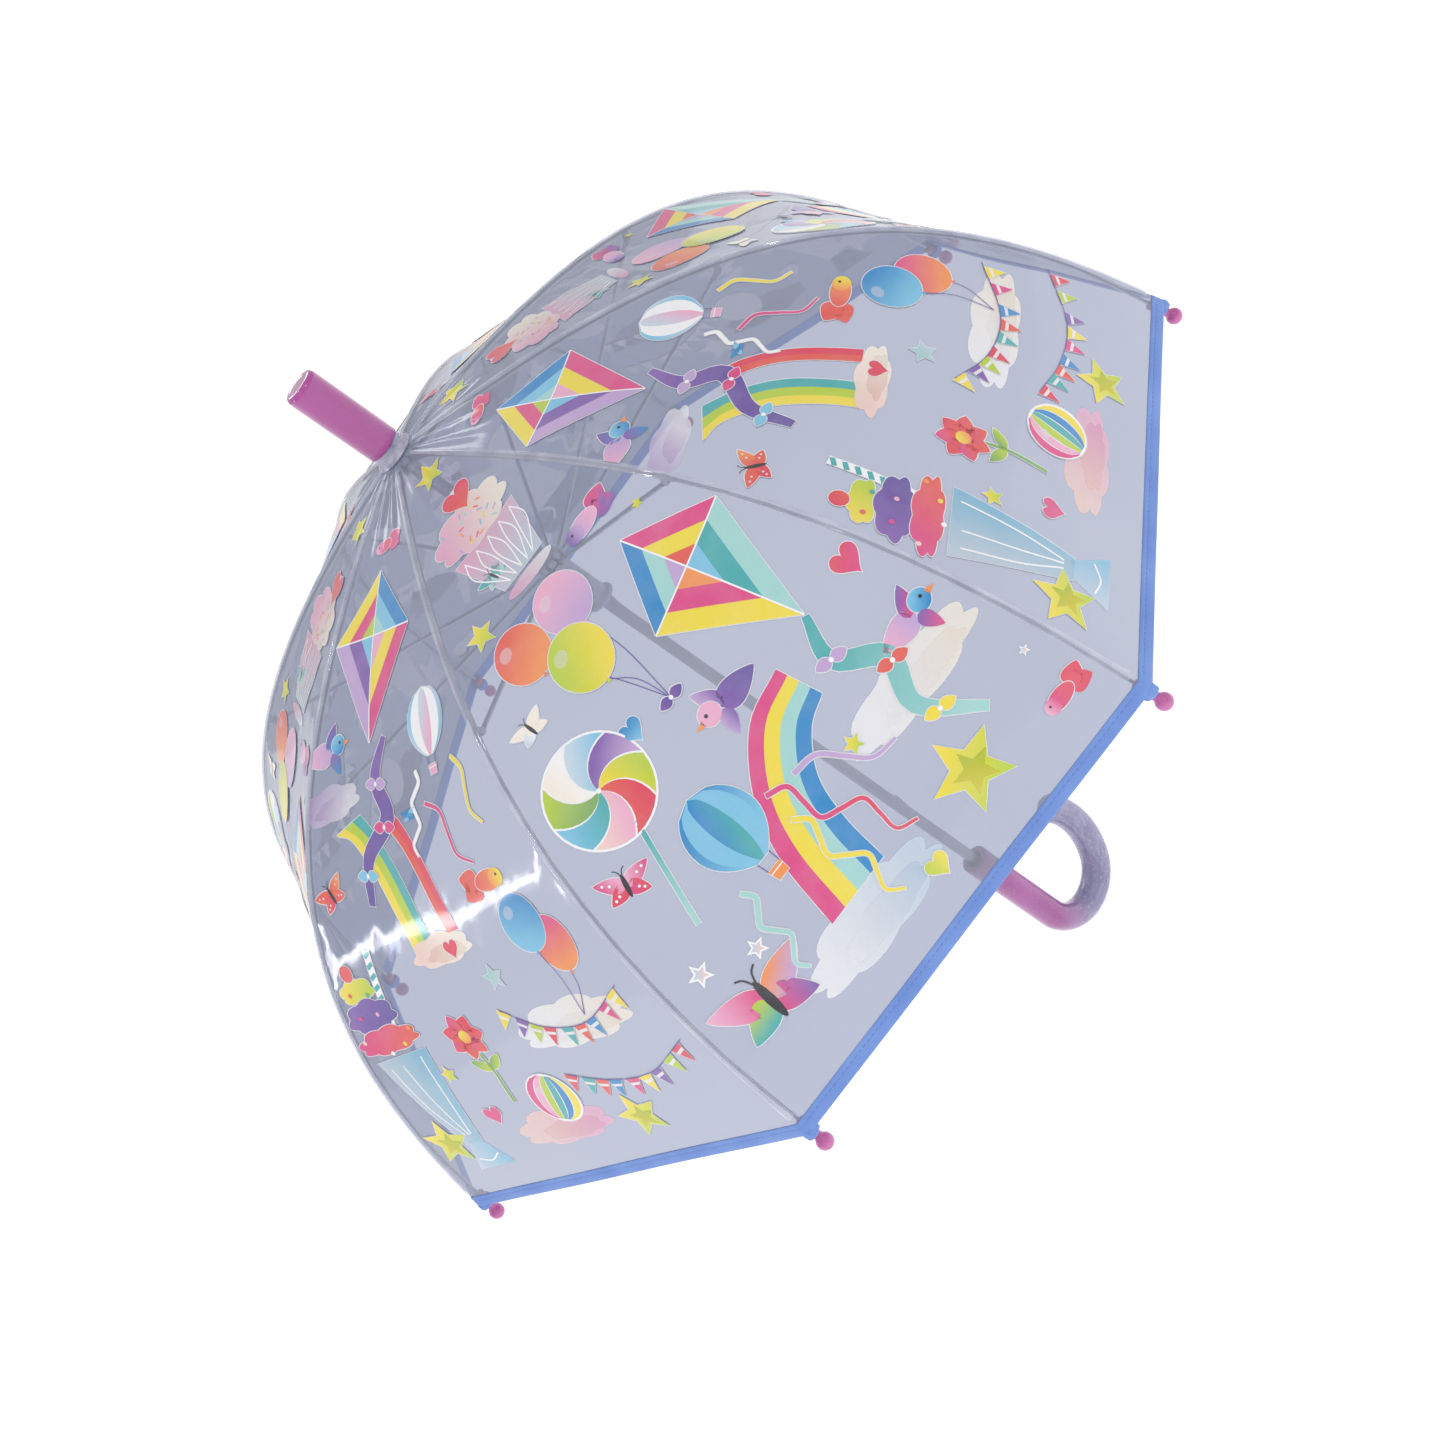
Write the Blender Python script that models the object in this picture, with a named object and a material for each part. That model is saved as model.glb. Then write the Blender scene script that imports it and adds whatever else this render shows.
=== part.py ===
"""Child's see-through dome umbrella: steel shaft and ribs, clear film canopy, crook handle.

Metres, +Z up along the shaft towards the ferrule. The origin is on the shaft's axis, in the middle
of the handle's straight grip. Rib 1 and the handle's crook lie on the +X side, and the ribs are
numbered anticlockwise seen from the ferrule. The umbrella is modelled open.
"""
import math

import bmesh
import bpy
from mathutils import Matrix, Vector

# ---- driving dimensions ----------------------------------------------------------------------
RIB_COUNT = 8
STEP_ANGLE = 2 * math.pi / RIB_COUNT
HALF_ANGLE = STEP_ANGLE / 2

RIM_RADIUS = 0.350            # shaft axis to a hem corner
RIM_Z = 0.290                 # height of the hem above the grip
GAP = 0.0003                  # running gap between neighbouring pieces

# The ridge of the open canopy over a rib: one Bezier curve, as fractions of RIM_RADIUS.
RIDGE = ((0.003, 0.7495), (0.682, 0.646), (0.863, 0.449), (1.0, 0.0))

FILM_THICKNESS = 0.0003
FILM_START_U = 0.006          # curve parameter where the film begins, under the ferrule
HEM_HEIGHT = 0.0085
HEM_THICKNESS = 0.0012

SHAFT_RADIUS = 0.0040
SHAFT_WALL = 0.0006
SHAFT_BORE_FIT = 0.00435      # bores that slide over or seat the shaft

RIB_RADIUS = 0.0015           # fluted upper half of a rib
WIRE_RADIUS = 0.0010          # springy lower half of a rib
RIB_DEPTH = 0.0022            # centre line of a rib below the ridge
TIP_DEPTH = 0.0047            # the same at the hem, where the tip cover needs room
CLIP_U = 0.37                 # curve parameter of the clip that carries the stretcher
FLEX_U = 0.384                # curve parameter where the rib's two halves meet
PIVOT_DROP = 0.0039           # stretcher pivot below the rib's centre line

RING_RADIUS = 0.0070          # pivot circle of the crown notch and of the runner
RING_WIRE = 0.0005
CROWN_PIVOT_Z = RIM_Z + 0.2545
EYE_RADIUS = 0.0019
EYE_HOLE = 0.00095
EYE_HALF_WIDTH = 0.0006
SHANK_LENGTH = 0.0055         # flat shank between an eye and its round rod
SHANK_HALF = 0.0009
STRETCHER_RADIUS = 0.0013
SLOT_WIDTH = 0.0020

RUNNER_LENGTH = 0.040         # below its pivots
RUNNER_RADIUS = 0.0078
HEAD_RADIUS = 0.0092
HEAD_HALF = 0.0044
KEYWAY_WIDTH = 0.0026
KEYWAY_DEPTH = 0.0066         # measured from the shaft's axis

CATCH_ANGLE = HALF_ANGLE      # the two spring catches stand between two ribs
CATCH_HEIGHT = 0.014
CATCH_THICKNESS = 0.0014
CATCH_REACH = 0.0062          # from the shaft's axis to the catch's nose
CATCH_ROOT = -0.0008          # inner end of the catch, just past the axis

BALL_RADIUS = 0.00475
SLEEVE_RADIUS = 0.0033

HANDLE_RADIUS = 0.0108
HANDLE_TOP_Z = RIM_Z - 0.2457
CROOK_START_Z = RIM_Z - 0.3336
TIGHT_BEND = (0.0319, math.radians(143))
WIDE_BEND = (0.0609, math.radians(57))
HANDLE_SOCKET_DEPTH = 0.058

FERRULE_RADIUS = 0.0113
FERRULE_BASE_Z = RIM_Z + 0.2693
FERRULE_END_Z = RIM_Z + 0.3270

COLOURS = {
    "steel": ((0.52, 0.53, 0.56), 0.28, 1.0),
    "orchid": ((0.43, 0.09, 0.34), 0.22, 0.0),
    "tip_pink": ((0.58, 0.13, 0.38), 0.35, 0.0),
    "film": ((0.62, 0.66, 0.80), 0.08, 0.0),
    "hem_blue": ((0.16, 0.30, 0.68), 0.75, 0.0),
    "clear": ((0.75, 0.76, 0.84), 0.10, 0.0),
    "nylon": ((0.70, 0.71, 0.74), 0.40, 0.0),
}


# ---- geometry of the ridge -------------------------------------------------------------------
def ridge(u):
    """Point (r, z) of the canopy's ridge over a rib, u from 0 at the crown to 1 at the hem."""
    weights = ((1 - u) ** 3, 3 * (1 - u) ** 2 * u, 3 * (1 - u) * u * u, u ** 3)
    r = sum(w * p[0] for w, p in zip(weights, RIDGE)) * RIM_RADIUS
    z = sum(w * p[1] for w, p in zip(weights, RIDGE)) * RIM_RADIUS
    return Vector((r, 0.0, RIM_Z + z))


def ridge_tangent(u):
    """Unit direction of the ridge, towards the hem."""
    step = 0.002
    return (ridge(min(u + step, 1.0)) - ridge(max(u - step, 0.0))).normalized()


def inward(u):
    """Unit normal of the ridge in the rib's plane, pointing under the canopy."""
    tangent = ridge_tangent(u)
    return Vector((tangent.z, 0.0, -tangent.x)).normalized()


def rib_line(u):
    """Centre line of a rib: close under the ridge, a little deeper at the tip cover."""
    late = max(0.0, (u - 0.86) / 0.14)
    ease = late * late * (3 - 2 * late)
    return ridge(u) + inward(u) * (RIB_DEPTH + (TIP_DEPTH - RIB_DEPTH) * ease)


CROWN_PIVOT = Vector((RING_RADIUS, 0.0, CROWN_PIVOT_Z))
CLIP_PIVOT = rib_line(CLIP_U) + inward(CLIP_U) * PIVOT_DROP
FLEX_PIVOT = rib_line(FLEX_U)
# The stretcher is as long as the rib's driven part, so the runner's pivots mirror the crown's.
RUNNER_PIVOT = Vector((RING_RADIUS, 0.0, 2 * CLIP_PIVOT.z - CROWN_PIVOT_Z))
TIP_AXIS = (rib_line(1.0) - rib_line(0.985)).normalized()


# ---- scene and mesh helpers ------------------------------------------------------------------
def clear_scene():
    for item in list(bpy.data.objects):
        bpy.data.objects.remove(item, do_unlink=True)


def material(name):
    found = bpy.data.materials.get(name)
    if found:
        return found
    colour, roughness, metallic = COLOURS[name]
    made = bpy.data.materials.new(name)
    made.use_nodes = True
    shader = made.node_tree.nodes["Principled BSDF"]
    shader.inputs["Base Color"].default_value = (*colour, 1.0)
    shader.inputs["Roughness"].default_value = roughness
    shader.inputs["Metallic"].default_value = metallic
    made.diffuse_color = (*colour, 1.0)
    return made


def build_mesh(name, points, faces):
    """A mesh from points and faces, with its faces turned outwards."""
    mesh = bpy.data.meshes.new(name)
    mesh.from_pydata([tuple(p) for p in points], [], faces)
    work = bmesh.new()
    work.from_mesh(mesh)
    bmesh.ops.recalc_face_normals(work, faces=work.faces)
    work.to_mesh(mesh)
    work.free()
    return mesh


def loft(name, sections):
    """A closed solid through sections that all have the same number of points."""
    size = len(sections[0])
    points = [p for section in sections for p in section]
    faces = []
    for row in range(len(sections) - 1):
        for i in range(size):
            j = (i + 1) % size
            faces.append((row * size + i, row * size + j, (row + 1) * size + j, (row + 1) * size + i))
    last = (len(sections) - 1) * size
    faces.append(tuple(range(size)))
    faces.append(tuple(last + i for i in range(size)))
    return build_mesh(name, points, faces)


def rod(name, path, radii, sides=6):
    """A round rod along a path in the XZ plane, with a radius at each point."""
    sections = []
    for i, point in enumerate(path):
        before = path[max(i - 1, 0)]
        after = path[min(i + 1, len(path) - 1)]
        along = (after - before).normalized()
        across = Vector((along.z, 0.0, -along.x))
        ring = []
        for k in range(sides):
            angle = 2 * math.pi * (k + 0.5) / sides
            offset = across * math.cos(angle) + Vector((0, 1, 0)) * math.sin(angle)
            ring.append(point + offset * radii[i])
        sections.append(ring)
    return loft(name, sections)


def turned(name, outline, sides, origin=Vector((0, 0, 0)), axis=Vector((0, 0, 1)), phase=0.5):
    """A turned solid: the closed outline's (radius, height) points swept round an axis.

    An outline that starts and ends on the axis gives a solid piece; one that stays off it, a ring.
    """
    solid = outline[0][0] == 0.0 and outline[-1][0] == 0.0
    turn = Vector((0, 0, 1)).rotation_difference(axis).to_matrix()
    points = []
    rows = []
    for radius, height in outline:
        if radius == 0.0:
            rows.append([len(points)] * sides)
            points.append(origin + turn @ Vector((0, 0, height)))
            continue
        rows.append(list(range(len(points), len(points) + sides)))
        for k in range(sides):
            angle = 2 * math.pi * (k + phase) / sides
            spot = Vector((radius * math.cos(angle), radius * math.sin(angle), height))
            points.append(origin + turn @ spot)
    faces = []
    pairs = list(zip(rows, rows[1:]))
    if not solid:
        pairs.append((rows[-1], rows[0]))
    for one, two in pairs:
        for i in range(sides):
            j = (i + 1) % sides
            corner = []
            for index in (one[i], one[j], two[j], two[i]):
                if index not in corner:
                    corner.append(index)
            if len(corner) > 2:
                faces.append(corner)
    return build_mesh(name, points, faces)


def plate(name, outline, low_y, high_y):
    """A flat plate: an (x, z) outline given depth along Y."""
    sections = [[Vector((x, y, z)) for x, z in outline] for y in (low_y, high_y)]
    return loft(name, sections)


def box(name, low, high):
    corners = [(low[0], low[2]), (high[0], low[2]), (high[0], high[2]), (low[0], high[2])]
    return plate(name, corners, low[1], high[1])


def merged(name, meshes):
    """Several separate solids held in one mesh, for use as a cutter."""
    work = bmesh.new()
    for mesh in meshes:
        work.from_mesh(mesh)
    result = bpy.data.meshes.new(name)
    work.to_mesh(result)
    work.free()
    return result


def turned_copies(name, mesh, angles):
    """Copies of a mesh turned round the shaft's axis."""
    copies = []
    for angle in angles:
        copy = mesh.copy()
        copy.transform(Matrix.Rotation(angle, 4, "Z"))
        copies.append(copy)
    return merged(name, copies)


def combine(base, tool, operation):
    """The Boolean result of two meshes, as a new mesh."""
    holder = bpy.data.objects.new("holder", base)
    cutter = bpy.data.objects.new("cutter", tool)
    for item in (holder, cutter):
        bpy.context.scene.collection.objects.link(item)
    cut = holder.modifiers.new("cut", "BOOLEAN")
    cut.operation = operation
    cut.solver = "EXACT"
    cut.object = cutter
    graph = bpy.context.evaluated_depsgraph_get()
    result = bpy.data.meshes.new_from_object(holder.evaluated_get(graph))
    for item in (holder, cutter):
        bpy.data.objects.remove(item, do_unlink=True)
    return result


def place(name, mesh, colour, pivot=Vector((0, 0, 0)), angle=0.0, smooth=35.0):
    """An object for a mesh drawn at angle 0, turned round the shaft, its origin at the pivot."""
    own = mesh.copy()
    own.name = name
    own.transform(Matrix.Translation(-pivot))
    own.shade_smooth()
    own.set_sharp_from_angle(angle=math.radians(smooth))
    own.materials.clear()
    own.materials.append(material(colour))
    item = bpy.data.objects.new(name, own)
    item.location = Matrix.Rotation(angle, 3, "Z") @ pivot
    item.rotation_euler = (0.0, 0.0, angle)
    bpy.context.scene.collection.objects.link(item)
    return item


def place_ring(name, mesh, colour, pivot=Vector((0, 0, 0)), turn=0.0):
    """One object per rib, numbered from 1."""
    for index in range(RIB_COUNT):
        place(f"{name}_{index + 1}", mesh, colour, pivot, index * STEP_ANGLE + turn)


# ---- shaft, crown and runner -----------------------------------------------------------------
def shaft_slot(low_z):
    """Cutter for the window in the shaft's wall that a spring catch works through."""
    window = box("window", (0.001, -0.001, low_z - 0.001), (0.006, 0.001, low_z + CATCH_HEIGHT + 0.001))
    window.transform(Matrix.Rotation(CATCH_ANGLE, 4, "Z"))
    return window


def top_catch_z():
    return RUNNER_PIVOT.z - RUNNER_LENGTH - 0.0006 - CATCH_HEIGHT


def bottom_catch_z():
    return RIM_Z - 0.175


def make_shaft():
    low = HANDLE_TOP_Z - HANDLE_SOCKET_DEPTH + 0.001
    high = FERRULE_BASE_Z + 0.035
    inner = SHAFT_RADIUS - SHAFT_WALL
    outline = [(inner, low), (SHAFT_RADIUS, low), (SHAFT_RADIUS, high), (inner, high)]
    tube = turned("shaft", outline, 16)
    windows = merged("windows", [shaft_slot(top_catch_z()), shaft_slot(bottom_catch_z())])
    place("shaft_tube", combine(tube, windows, "DIFFERENCE"), "steel")


def make_catch(name, low_z):
    """A spring catch: a plate whose sloping nose stands out of the shaft."""
    high_z = low_z + CATCH_HEIGHT
    outline = [(CATCH_ROOT, low_z), (0.0046, low_z), (CATCH_REACH, high_z - 0.003),
               (CATCH_REACH, high_z), (CATCH_ROOT, high_z)]
    leaf = plate(name, outline, -CATCH_THICKNESS / 2, CATCH_THICKNESS / 2)
    place(name, leaf, "steel", Vector((0.0, 0.0, low_z)), CATCH_ANGLE)


def head_outline(middle, low, high):
    """Turned outline of a slotted head, with the groove that its ring wire lies in."""
    lip = RING_WIRE + GAP
    groove = RING_RADIUS - RING_WIRE - GAP
    return [(SHAFT_BORE_FIT, low), (HEAD_RADIUS, low), (HEAD_RADIUS, middle - lip),
            (groove, middle - lip), (groove, middle + lip), (HEAD_RADIUS, middle + lip),
            (HEAD_RADIUS, high), (SHAFT_BORE_FIT, high)]


def slots(low, high):
    """Eight radial slots in which the eyes of the ribs or stretchers turn."""
    half = SLOT_WIDTH / 2
    one = box("slot", (RING_RADIUS - EYE_RADIUS - GAP, -half, low), (0.013, half, high))
    return turned_copies("slots", one, [i * STEP_ANGLE for i in range(RIB_COUNT)])


def ring_wire(name, height):
    """The wire that threads all eight eyes, closed into a ring."""
    outline = [(RING_RADIUS + RING_WIRE * math.cos(a), height + RING_WIRE * math.sin(a))
               for a in (math.radians(60 * k) for k in range(6))]
    place(name, turned(name, outline, 24), "steel", Vector((0, 0, height)))


def make_crown():
    low = CROWN_PIVOT_Z - HEAD_HALF
    high = RIM_Z + 0.2604
    body = turned("notch", head_outline(CROWN_PIVOT_Z, low, high), 24)
    cut = slots(low - 0.001, CROWN_PIVOT_Z + 0.0030)
    place("crown_notch", combine(body, cut, "DIFFERENCE"), "nylon")
    ring_wire("crown_wire", CROWN_PIVOT_Z)


def runner_outline():
    """The head's outline carried on down as a sleeve with a thumb flange."""
    pivot_z = RUNNER_PIVOT.z
    head = head_outline(pivot_z, pivot_z - HEAD_HALF, pivot_z + HEAD_HALF)
    end = pivot_z - RUNNER_LENGTH
    sleeve = [(SHAFT_BORE_FIT, end), (0.0098, end), (0.0104, end + 0.0012), (0.0098, end + 0.0030),
              (RUNNER_RADIUS, end + 0.0042), (RUNNER_RADIUS, pivot_z - HEAD_HALF - 0.0012)]
    return sleeve + head[1:]


def make_runner():
    pivot_z = RUNNER_PIVOT.z
    body = turned("runner", runner_outline(), 24)
    body = combine(body, slots(pivot_z - 0.0030, pivot_z + HEAD_HALF + 0.001), "DIFFERENCE")
    half = KEYWAY_WIDTH / 2
    low, high = pivot_z - RUNNER_LENGTH - 0.001, pivot_z + HEAD_HALF + 0.001
    keyway = box("keyway", (0.002, -half, low), (KEYWAY_DEPTH, half, high))
    keyway.transform(Matrix.Rotation(CATCH_ANGLE, 4, "Z"))
    place("runner", combine(body, keyway, "DIFFERENCE"), "nylon", Vector((0, 0, pivot_z)))
    ring_wire("runner_wire", pivot_z)
    stop_z = pivot_z + HEAD_HALF + GAP
    stop = [(SHAFT_BORE_FIT, stop_z), (0.0056, stop_z), (0.0056, stop_z + 0.002),
            (SHAFT_BORE_FIT, stop_z + 0.002)]
    place("runner_stop", turned("runner_stop", stop, 16), "steel")


# ---- ribs and stretchers ---------------------------------------------------------------------
def eye_plate(start, direction):
    """A flat eye at start with a shank that runs along direction."""
    back = Vector((direction.x, direction.z))
    side = Vector((-back.y, back.x))
    centre = Vector((start.x, start.z))
    outline = []
    for k in range(7):
        angle = math.radians(60 + 40 * k)
        outline.append(centre + (back * math.cos(angle) + side * math.sin(angle)) * EYE_RADIUS)
    length = SHANK_LENGTH + 0.0015
    outline += [centre + back * length - side * SHANK_HALF, centre + back * length + side * SHANK_HALF]
    return plate("eye", [tuple(p) for p in outline], -EYE_HALF_WIDTH, EYE_HALF_WIDTH)


def bore(centre, radius, sides=8):
    """Cutter or pin along Y through a point of the XZ plane."""
    outline = [(centre.x + radius * math.cos(2 * math.pi * k / sides),
                centre.z + radius * math.sin(2 * math.pi * k / sides)) for k in range(sides)]
    return plate("bore", outline, -0.0012, 0.0012)


def add_eye(body, start, direction, hole):
    body = combine(body, eye_plate(start, direction), "UNION")
    return combine(body, bore(start, hole), "DIFFERENCE")


def clip_cheek(low_y, high_y):
    """One cheek of the clip that hangs the stretcher's pin under the rib."""
    along = ridge_tangent(CLIP_U) * 0.0016
    down = inward(CLIP_U)
    foot = CLIP_PIVOT - down * (PIVOT_DROP + 0.0004)
    toe = CLIP_PIVOT + down * 0.0015
    corners = (foot - along, foot + along, CLIP_PIVOT + along, toe + along * 0.5,
               toe - along * 0.5, CLIP_PIVOT - along)
    return plate("cheek", [(p.x, p.z) for p in corners], low_y, high_y)


def make_upper_ribs():
    """Fluted upper half: crown eye, rod, and the clip for the stretcher's pin."""
    first = rib_line(0.045)
    toward = (first - CROWN_PIVOT).normalized()
    end = FLEX_PIVOT - ridge_tangent(FLEX_U) * (0.0016 + GAP)
    spans = [0.045, 0.09, 0.14, 0.19, 0.24, 0.29, 0.33, CLIP_U]
    path = [CROWN_PIVOT + toward * SHANK_LENGTH] + [rib_line(u) for u in spans] + [end]
    body = rod("rib_upper", path, [RIB_RADIUS] * len(path))
    body = add_eye(body, CROWN_PIVOT, toward, EYE_HOLE)
    for low_y, high_y in ((0.0009, 0.0017), (-0.0017, -0.0009)):
        body = combine(body, clip_cheek(low_y, high_y), "UNION")
    body = combine(body, bore(CLIP_PIVOT, 0.0007), "UNION")
    place_ring("rib_upper", body, "steel", CROWN_PIVOT)


def make_lower_ribs():
    """Springy wire from the knuckle at the clip to the tip cover."""
    spans = [FLEX_U + (1 - FLEX_U) * k / 10 for k in range(1, 11)]
    start = ridge_tangent(FLEX_U)
    path = [FLEX_PIVOT - start * 0.0015, FLEX_PIVOT - start * 0.0009, FLEX_PIVOT,
            FLEX_PIVOT + start * 0.0012, FLEX_PIVOT + start * 0.0018]
    radii = [0.0004, 0.0012, 0.0015, 0.0012, WIRE_RADIUS]
    path += [rib_line(u) for u in spans] + [rib_line(1.0) + TIP_AXIS * 0.003]
    radii += [WIRE_RADIUS] * (len(path) - len(radii))
    place_ring("rib_lower", rod("rib_lower", path, radii), "steel", FLEX_PIVOT)


def make_stretchers():
    """Rod with a flat eye at each end: on the rib's clip pin and on the runner's wire."""
    toward = (RUNNER_PIVOT - CLIP_PIVOT).normalized()
    path = [CLIP_PIVOT + toward * SHANK_LENGTH, RUNNER_PIVOT - toward * SHANK_LENGTH]
    body = rod("stretcher", path, [STRETCHER_RADIUS] * 2)
    body = add_eye(body, CLIP_PIVOT, toward, 0.0010)
    body = add_eye(body, RUNNER_PIVOT, -toward, EYE_HOLE)
    place_ring("stretcher", body, "steel", CLIP_PIVOT)


def make_tip_covers():
    """Ball-ended plastic cover on each rib's tip: blind sleeve, neck and ball."""
    base = rib_line(1.0)
    ball = 0.0105
    bore_radius = WIRE_RADIUS + GAP
    outline = [(0.0, 0.0038), (bore_radius, 0.0038), (bore_radius, -0.0070), (0.0028, -0.0070),
               (SLEEVE_RADIUS, -0.0062), (SLEEVE_RADIUS, 0.0016), (0.0024, 0.0030), (0.0024, 0.0056)]
    for degrees in (-42, -12, 18, 48, 72):
        angle = math.radians(degrees)
        outline.append((BALL_RADIUS * math.cos(angle), ball + BALL_RADIUS * math.sin(angle)))
    outline.append((0.0, ball + BALL_RADIUS))
    cover = turned("tip_cover", outline, 10, base, TIP_AXIS)
    place_ring("tip_cover", cover, "tip_pink", FLEX_PIVOT)


# ---- canopy ----------------------------------------------------------------------------------
def gore_section(u, thickness):
    """Four corners across a gore: it is flat from rib to rib, so each level is a straight bar.

    The gore is drawn in its own mid plane, XZ, and its side edges keep clear of both ribs' planes.
    """
    mid = Vector((ridge(u).x * math.cos(HALF_ANGLE), 0.0, ridge(u).z))
    near = ridge(max(u - 0.004, 0.0))
    far = ridge(min(u + 0.004, 1.0))
    along = Vector(((far.x - near.x) * math.cos(HALF_ANGLE), 0.0, far.z - near.z)).normalized()
    out = Vector((-along.z, 0.0, along.x))
    corners = []
    for side, level in ((-1, 0.5), (1, 0.5), (1, -0.5), (-1, -0.5)):
        spot = mid + out * thickness * level
        half_width = spot.x * math.tan(HALF_ANGLE) - 0.0002
        corners.append(Vector((spot.x, side * half_width, spot.z)))
    return corners


def hem_start_u():
    """Curve parameter of the hem tape's upper edge."""
    speed = (ridge(1.0) - ridge(0.99)).length / 0.01
    return 1.0 - HEM_HEIGHT / speed


def make_canopy():
    """Eight film gores and the hem tape along the lower edge of each."""
    hem_u = hem_start_u()
    rows = 14
    film_end = hem_u - 0.0004
    levels = [FILM_START_U + (film_end - FILM_START_U) * i / rows for i in range(rows + 1)]
    gore = loft("gore", [gore_section(u, FILM_THICKNESS) for u in levels])
    hem = loft("hem", [gore_section(hem_u + (1 - hem_u) * i / 2, HEM_THICKNESS) for i in range(3)])
    for mesh in (gore, hem):
        mesh.transform(Matrix.Rotation(HALF_ANGLE, 4, "Z"))
    place_ring("canopy_panel", gore, "film", CROWN_PIVOT)
    place_ring("hem_tape", hem, "hem_blue", FLEX_PIVOT)


# ---- ferrule, washer and handle --------------------------------------------------------------
def make_ferrule():
    base, end = FERRULE_BASE_Z, FERRULE_END_Z
    seat = base + 0.0355
    outline = [(0.0, seat), (SHAFT_BORE_FIT, seat), (SHAFT_BORE_FIT, base),
               (FERRULE_RADIUS - 0.0006, base), (FERRULE_RADIUS, base + 0.0008),
               (FERRULE_RADIUS, end - 0.0014), (FERRULE_RADIUS - 0.0004, end - 0.0004),
               (FERRULE_RADIUS - 0.0014, end), (0.0, end)]
    place("ferrule", turned("ferrule", outline, 20), "orchid")
    low = RIM_Z + 0.2630
    collar = FERRULE_BASE_Z - GAP
    skirt = [(SHAFT_BORE_FIT, low), (0.0095, low - 0.0006), (0.0130, low - 0.0016), (0.0133, low - 0.0009),
             (0.0112, low + 0.0010), (0.0104, low + 0.0024), (0.0102, collar), (SHAFT_BORE_FIT, collar)]
    place("canopy_washer", turned("canopy_washer", skirt, 20), "clear")


def crook_path():
    """Centre line of the handle: straight grip, tight bend, wide bend, rounded end."""
    path = [Vector((0, 0, HANDLE_TOP_Z)), Vector((0, 0, CROOK_START_Z))]
    spot, heading = path[-1].copy(), math.pi
    for radius, sweep in (TIGHT_BEND, WIDE_BEND):
        steps = max(4, round(math.degrees(sweep) / 14))
        for _ in range(steps):
            turn = sweep / steps
            middle = heading - turn / 2
            chord = 2 * radius * math.sin(turn / 2)
            spot = spot + Vector((math.sin(middle), 0, math.cos(middle))) * chord
            heading -= turn
            path.append(spot.copy())
    onward = Vector((math.sin(heading), 0, math.cos(heading)))
    return path, onward


def make_handle():
    path, onward = crook_path()
    end = path[-1]
    cap = ((0.0040, 0.93), (0.0070, 0.72), (0.0088, 0.42))
    radii = [HANDLE_RADIUS] * len(path) + [HANDLE_RADIUS * share for _, share in cap]
    path += [end + onward * reach for reach, _ in cap]
    body = rod("handle", path, radii, 12)
    top, floor = HANDLE_TOP_Z, HANDLE_TOP_Z - HANDLE_SOCKET_DEPTH
    socket = [(0.0, top + 0.002), (0.0062, top + 0.002), (0.0058, top - 0.0050),
              (SHAFT_BORE_FIT, top - 0.0065), (SHAFT_BORE_FIT, floor), (0.0, floor)]
    place("handle", combine(body, turned("socket", socket, 16), "DIFFERENCE"), "orchid")


def main():
    clear_scene()
    make_shaft()
    make_catch("top_catch", top_catch_z())
    make_catch("bottom_catch", bottom_catch_z())
    make_crown()
    make_runner()
    make_upper_ribs()
    make_lower_ribs()
    make_stretchers()
    make_tip_covers()
    make_canopy()
    make_ferrule()
    make_handle()


main()
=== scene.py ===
"""Looks of the children's clear dome umbrella: printed film, trims, metalwork and studio."""
import math

import bmesh
import bpy
import numpy as np
from mathutils import Matrix, Vector


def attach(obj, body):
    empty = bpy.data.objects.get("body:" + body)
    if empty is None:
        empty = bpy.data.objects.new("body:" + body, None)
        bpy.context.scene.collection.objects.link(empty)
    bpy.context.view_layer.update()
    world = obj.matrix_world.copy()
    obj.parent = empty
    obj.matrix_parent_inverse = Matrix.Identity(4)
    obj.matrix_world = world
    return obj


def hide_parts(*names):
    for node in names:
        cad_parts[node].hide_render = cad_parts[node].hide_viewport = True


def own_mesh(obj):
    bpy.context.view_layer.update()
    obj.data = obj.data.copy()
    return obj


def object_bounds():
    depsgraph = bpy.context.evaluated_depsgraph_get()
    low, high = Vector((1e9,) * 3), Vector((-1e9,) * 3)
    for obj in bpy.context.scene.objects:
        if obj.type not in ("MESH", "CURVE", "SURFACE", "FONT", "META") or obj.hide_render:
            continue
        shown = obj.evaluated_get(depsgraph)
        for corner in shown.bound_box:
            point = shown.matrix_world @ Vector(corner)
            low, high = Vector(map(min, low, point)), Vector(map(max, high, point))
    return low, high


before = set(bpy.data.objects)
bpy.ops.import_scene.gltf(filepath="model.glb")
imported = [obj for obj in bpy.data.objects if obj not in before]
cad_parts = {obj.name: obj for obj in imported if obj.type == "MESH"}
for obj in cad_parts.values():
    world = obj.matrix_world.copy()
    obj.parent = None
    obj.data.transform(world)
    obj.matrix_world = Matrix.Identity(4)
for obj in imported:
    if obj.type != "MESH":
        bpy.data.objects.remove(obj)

CAD_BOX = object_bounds()

# ---- sizes, in metres, in the frame's axes ----------------------------------------------------
RIB_COUNT = 8
STEP = 2 * math.pi / RIB_COUNT
HALF = STEP / 2
RIM_RADIUS = 0.350
RIM_Z = 0.290
RIDGE = ((0.003, 0.7495), (0.682, 0.646), (0.863, 0.449), (1.0, 0.0))
FILM_START_U = 0.006
FLEX_U = 0.384
HEM_HEIGHT = 0.0085
RIB_DEPTH = 0.0022
TIP_DEPTH = 0.0047

FERRULE_RADIUS = 0.0113
FERRULE_BASE_Z = RIM_Z + 0.2693
FERRULE_END_Z = RIM_Z + 0.3270
SHAFT_BORE = 0.00435

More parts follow.
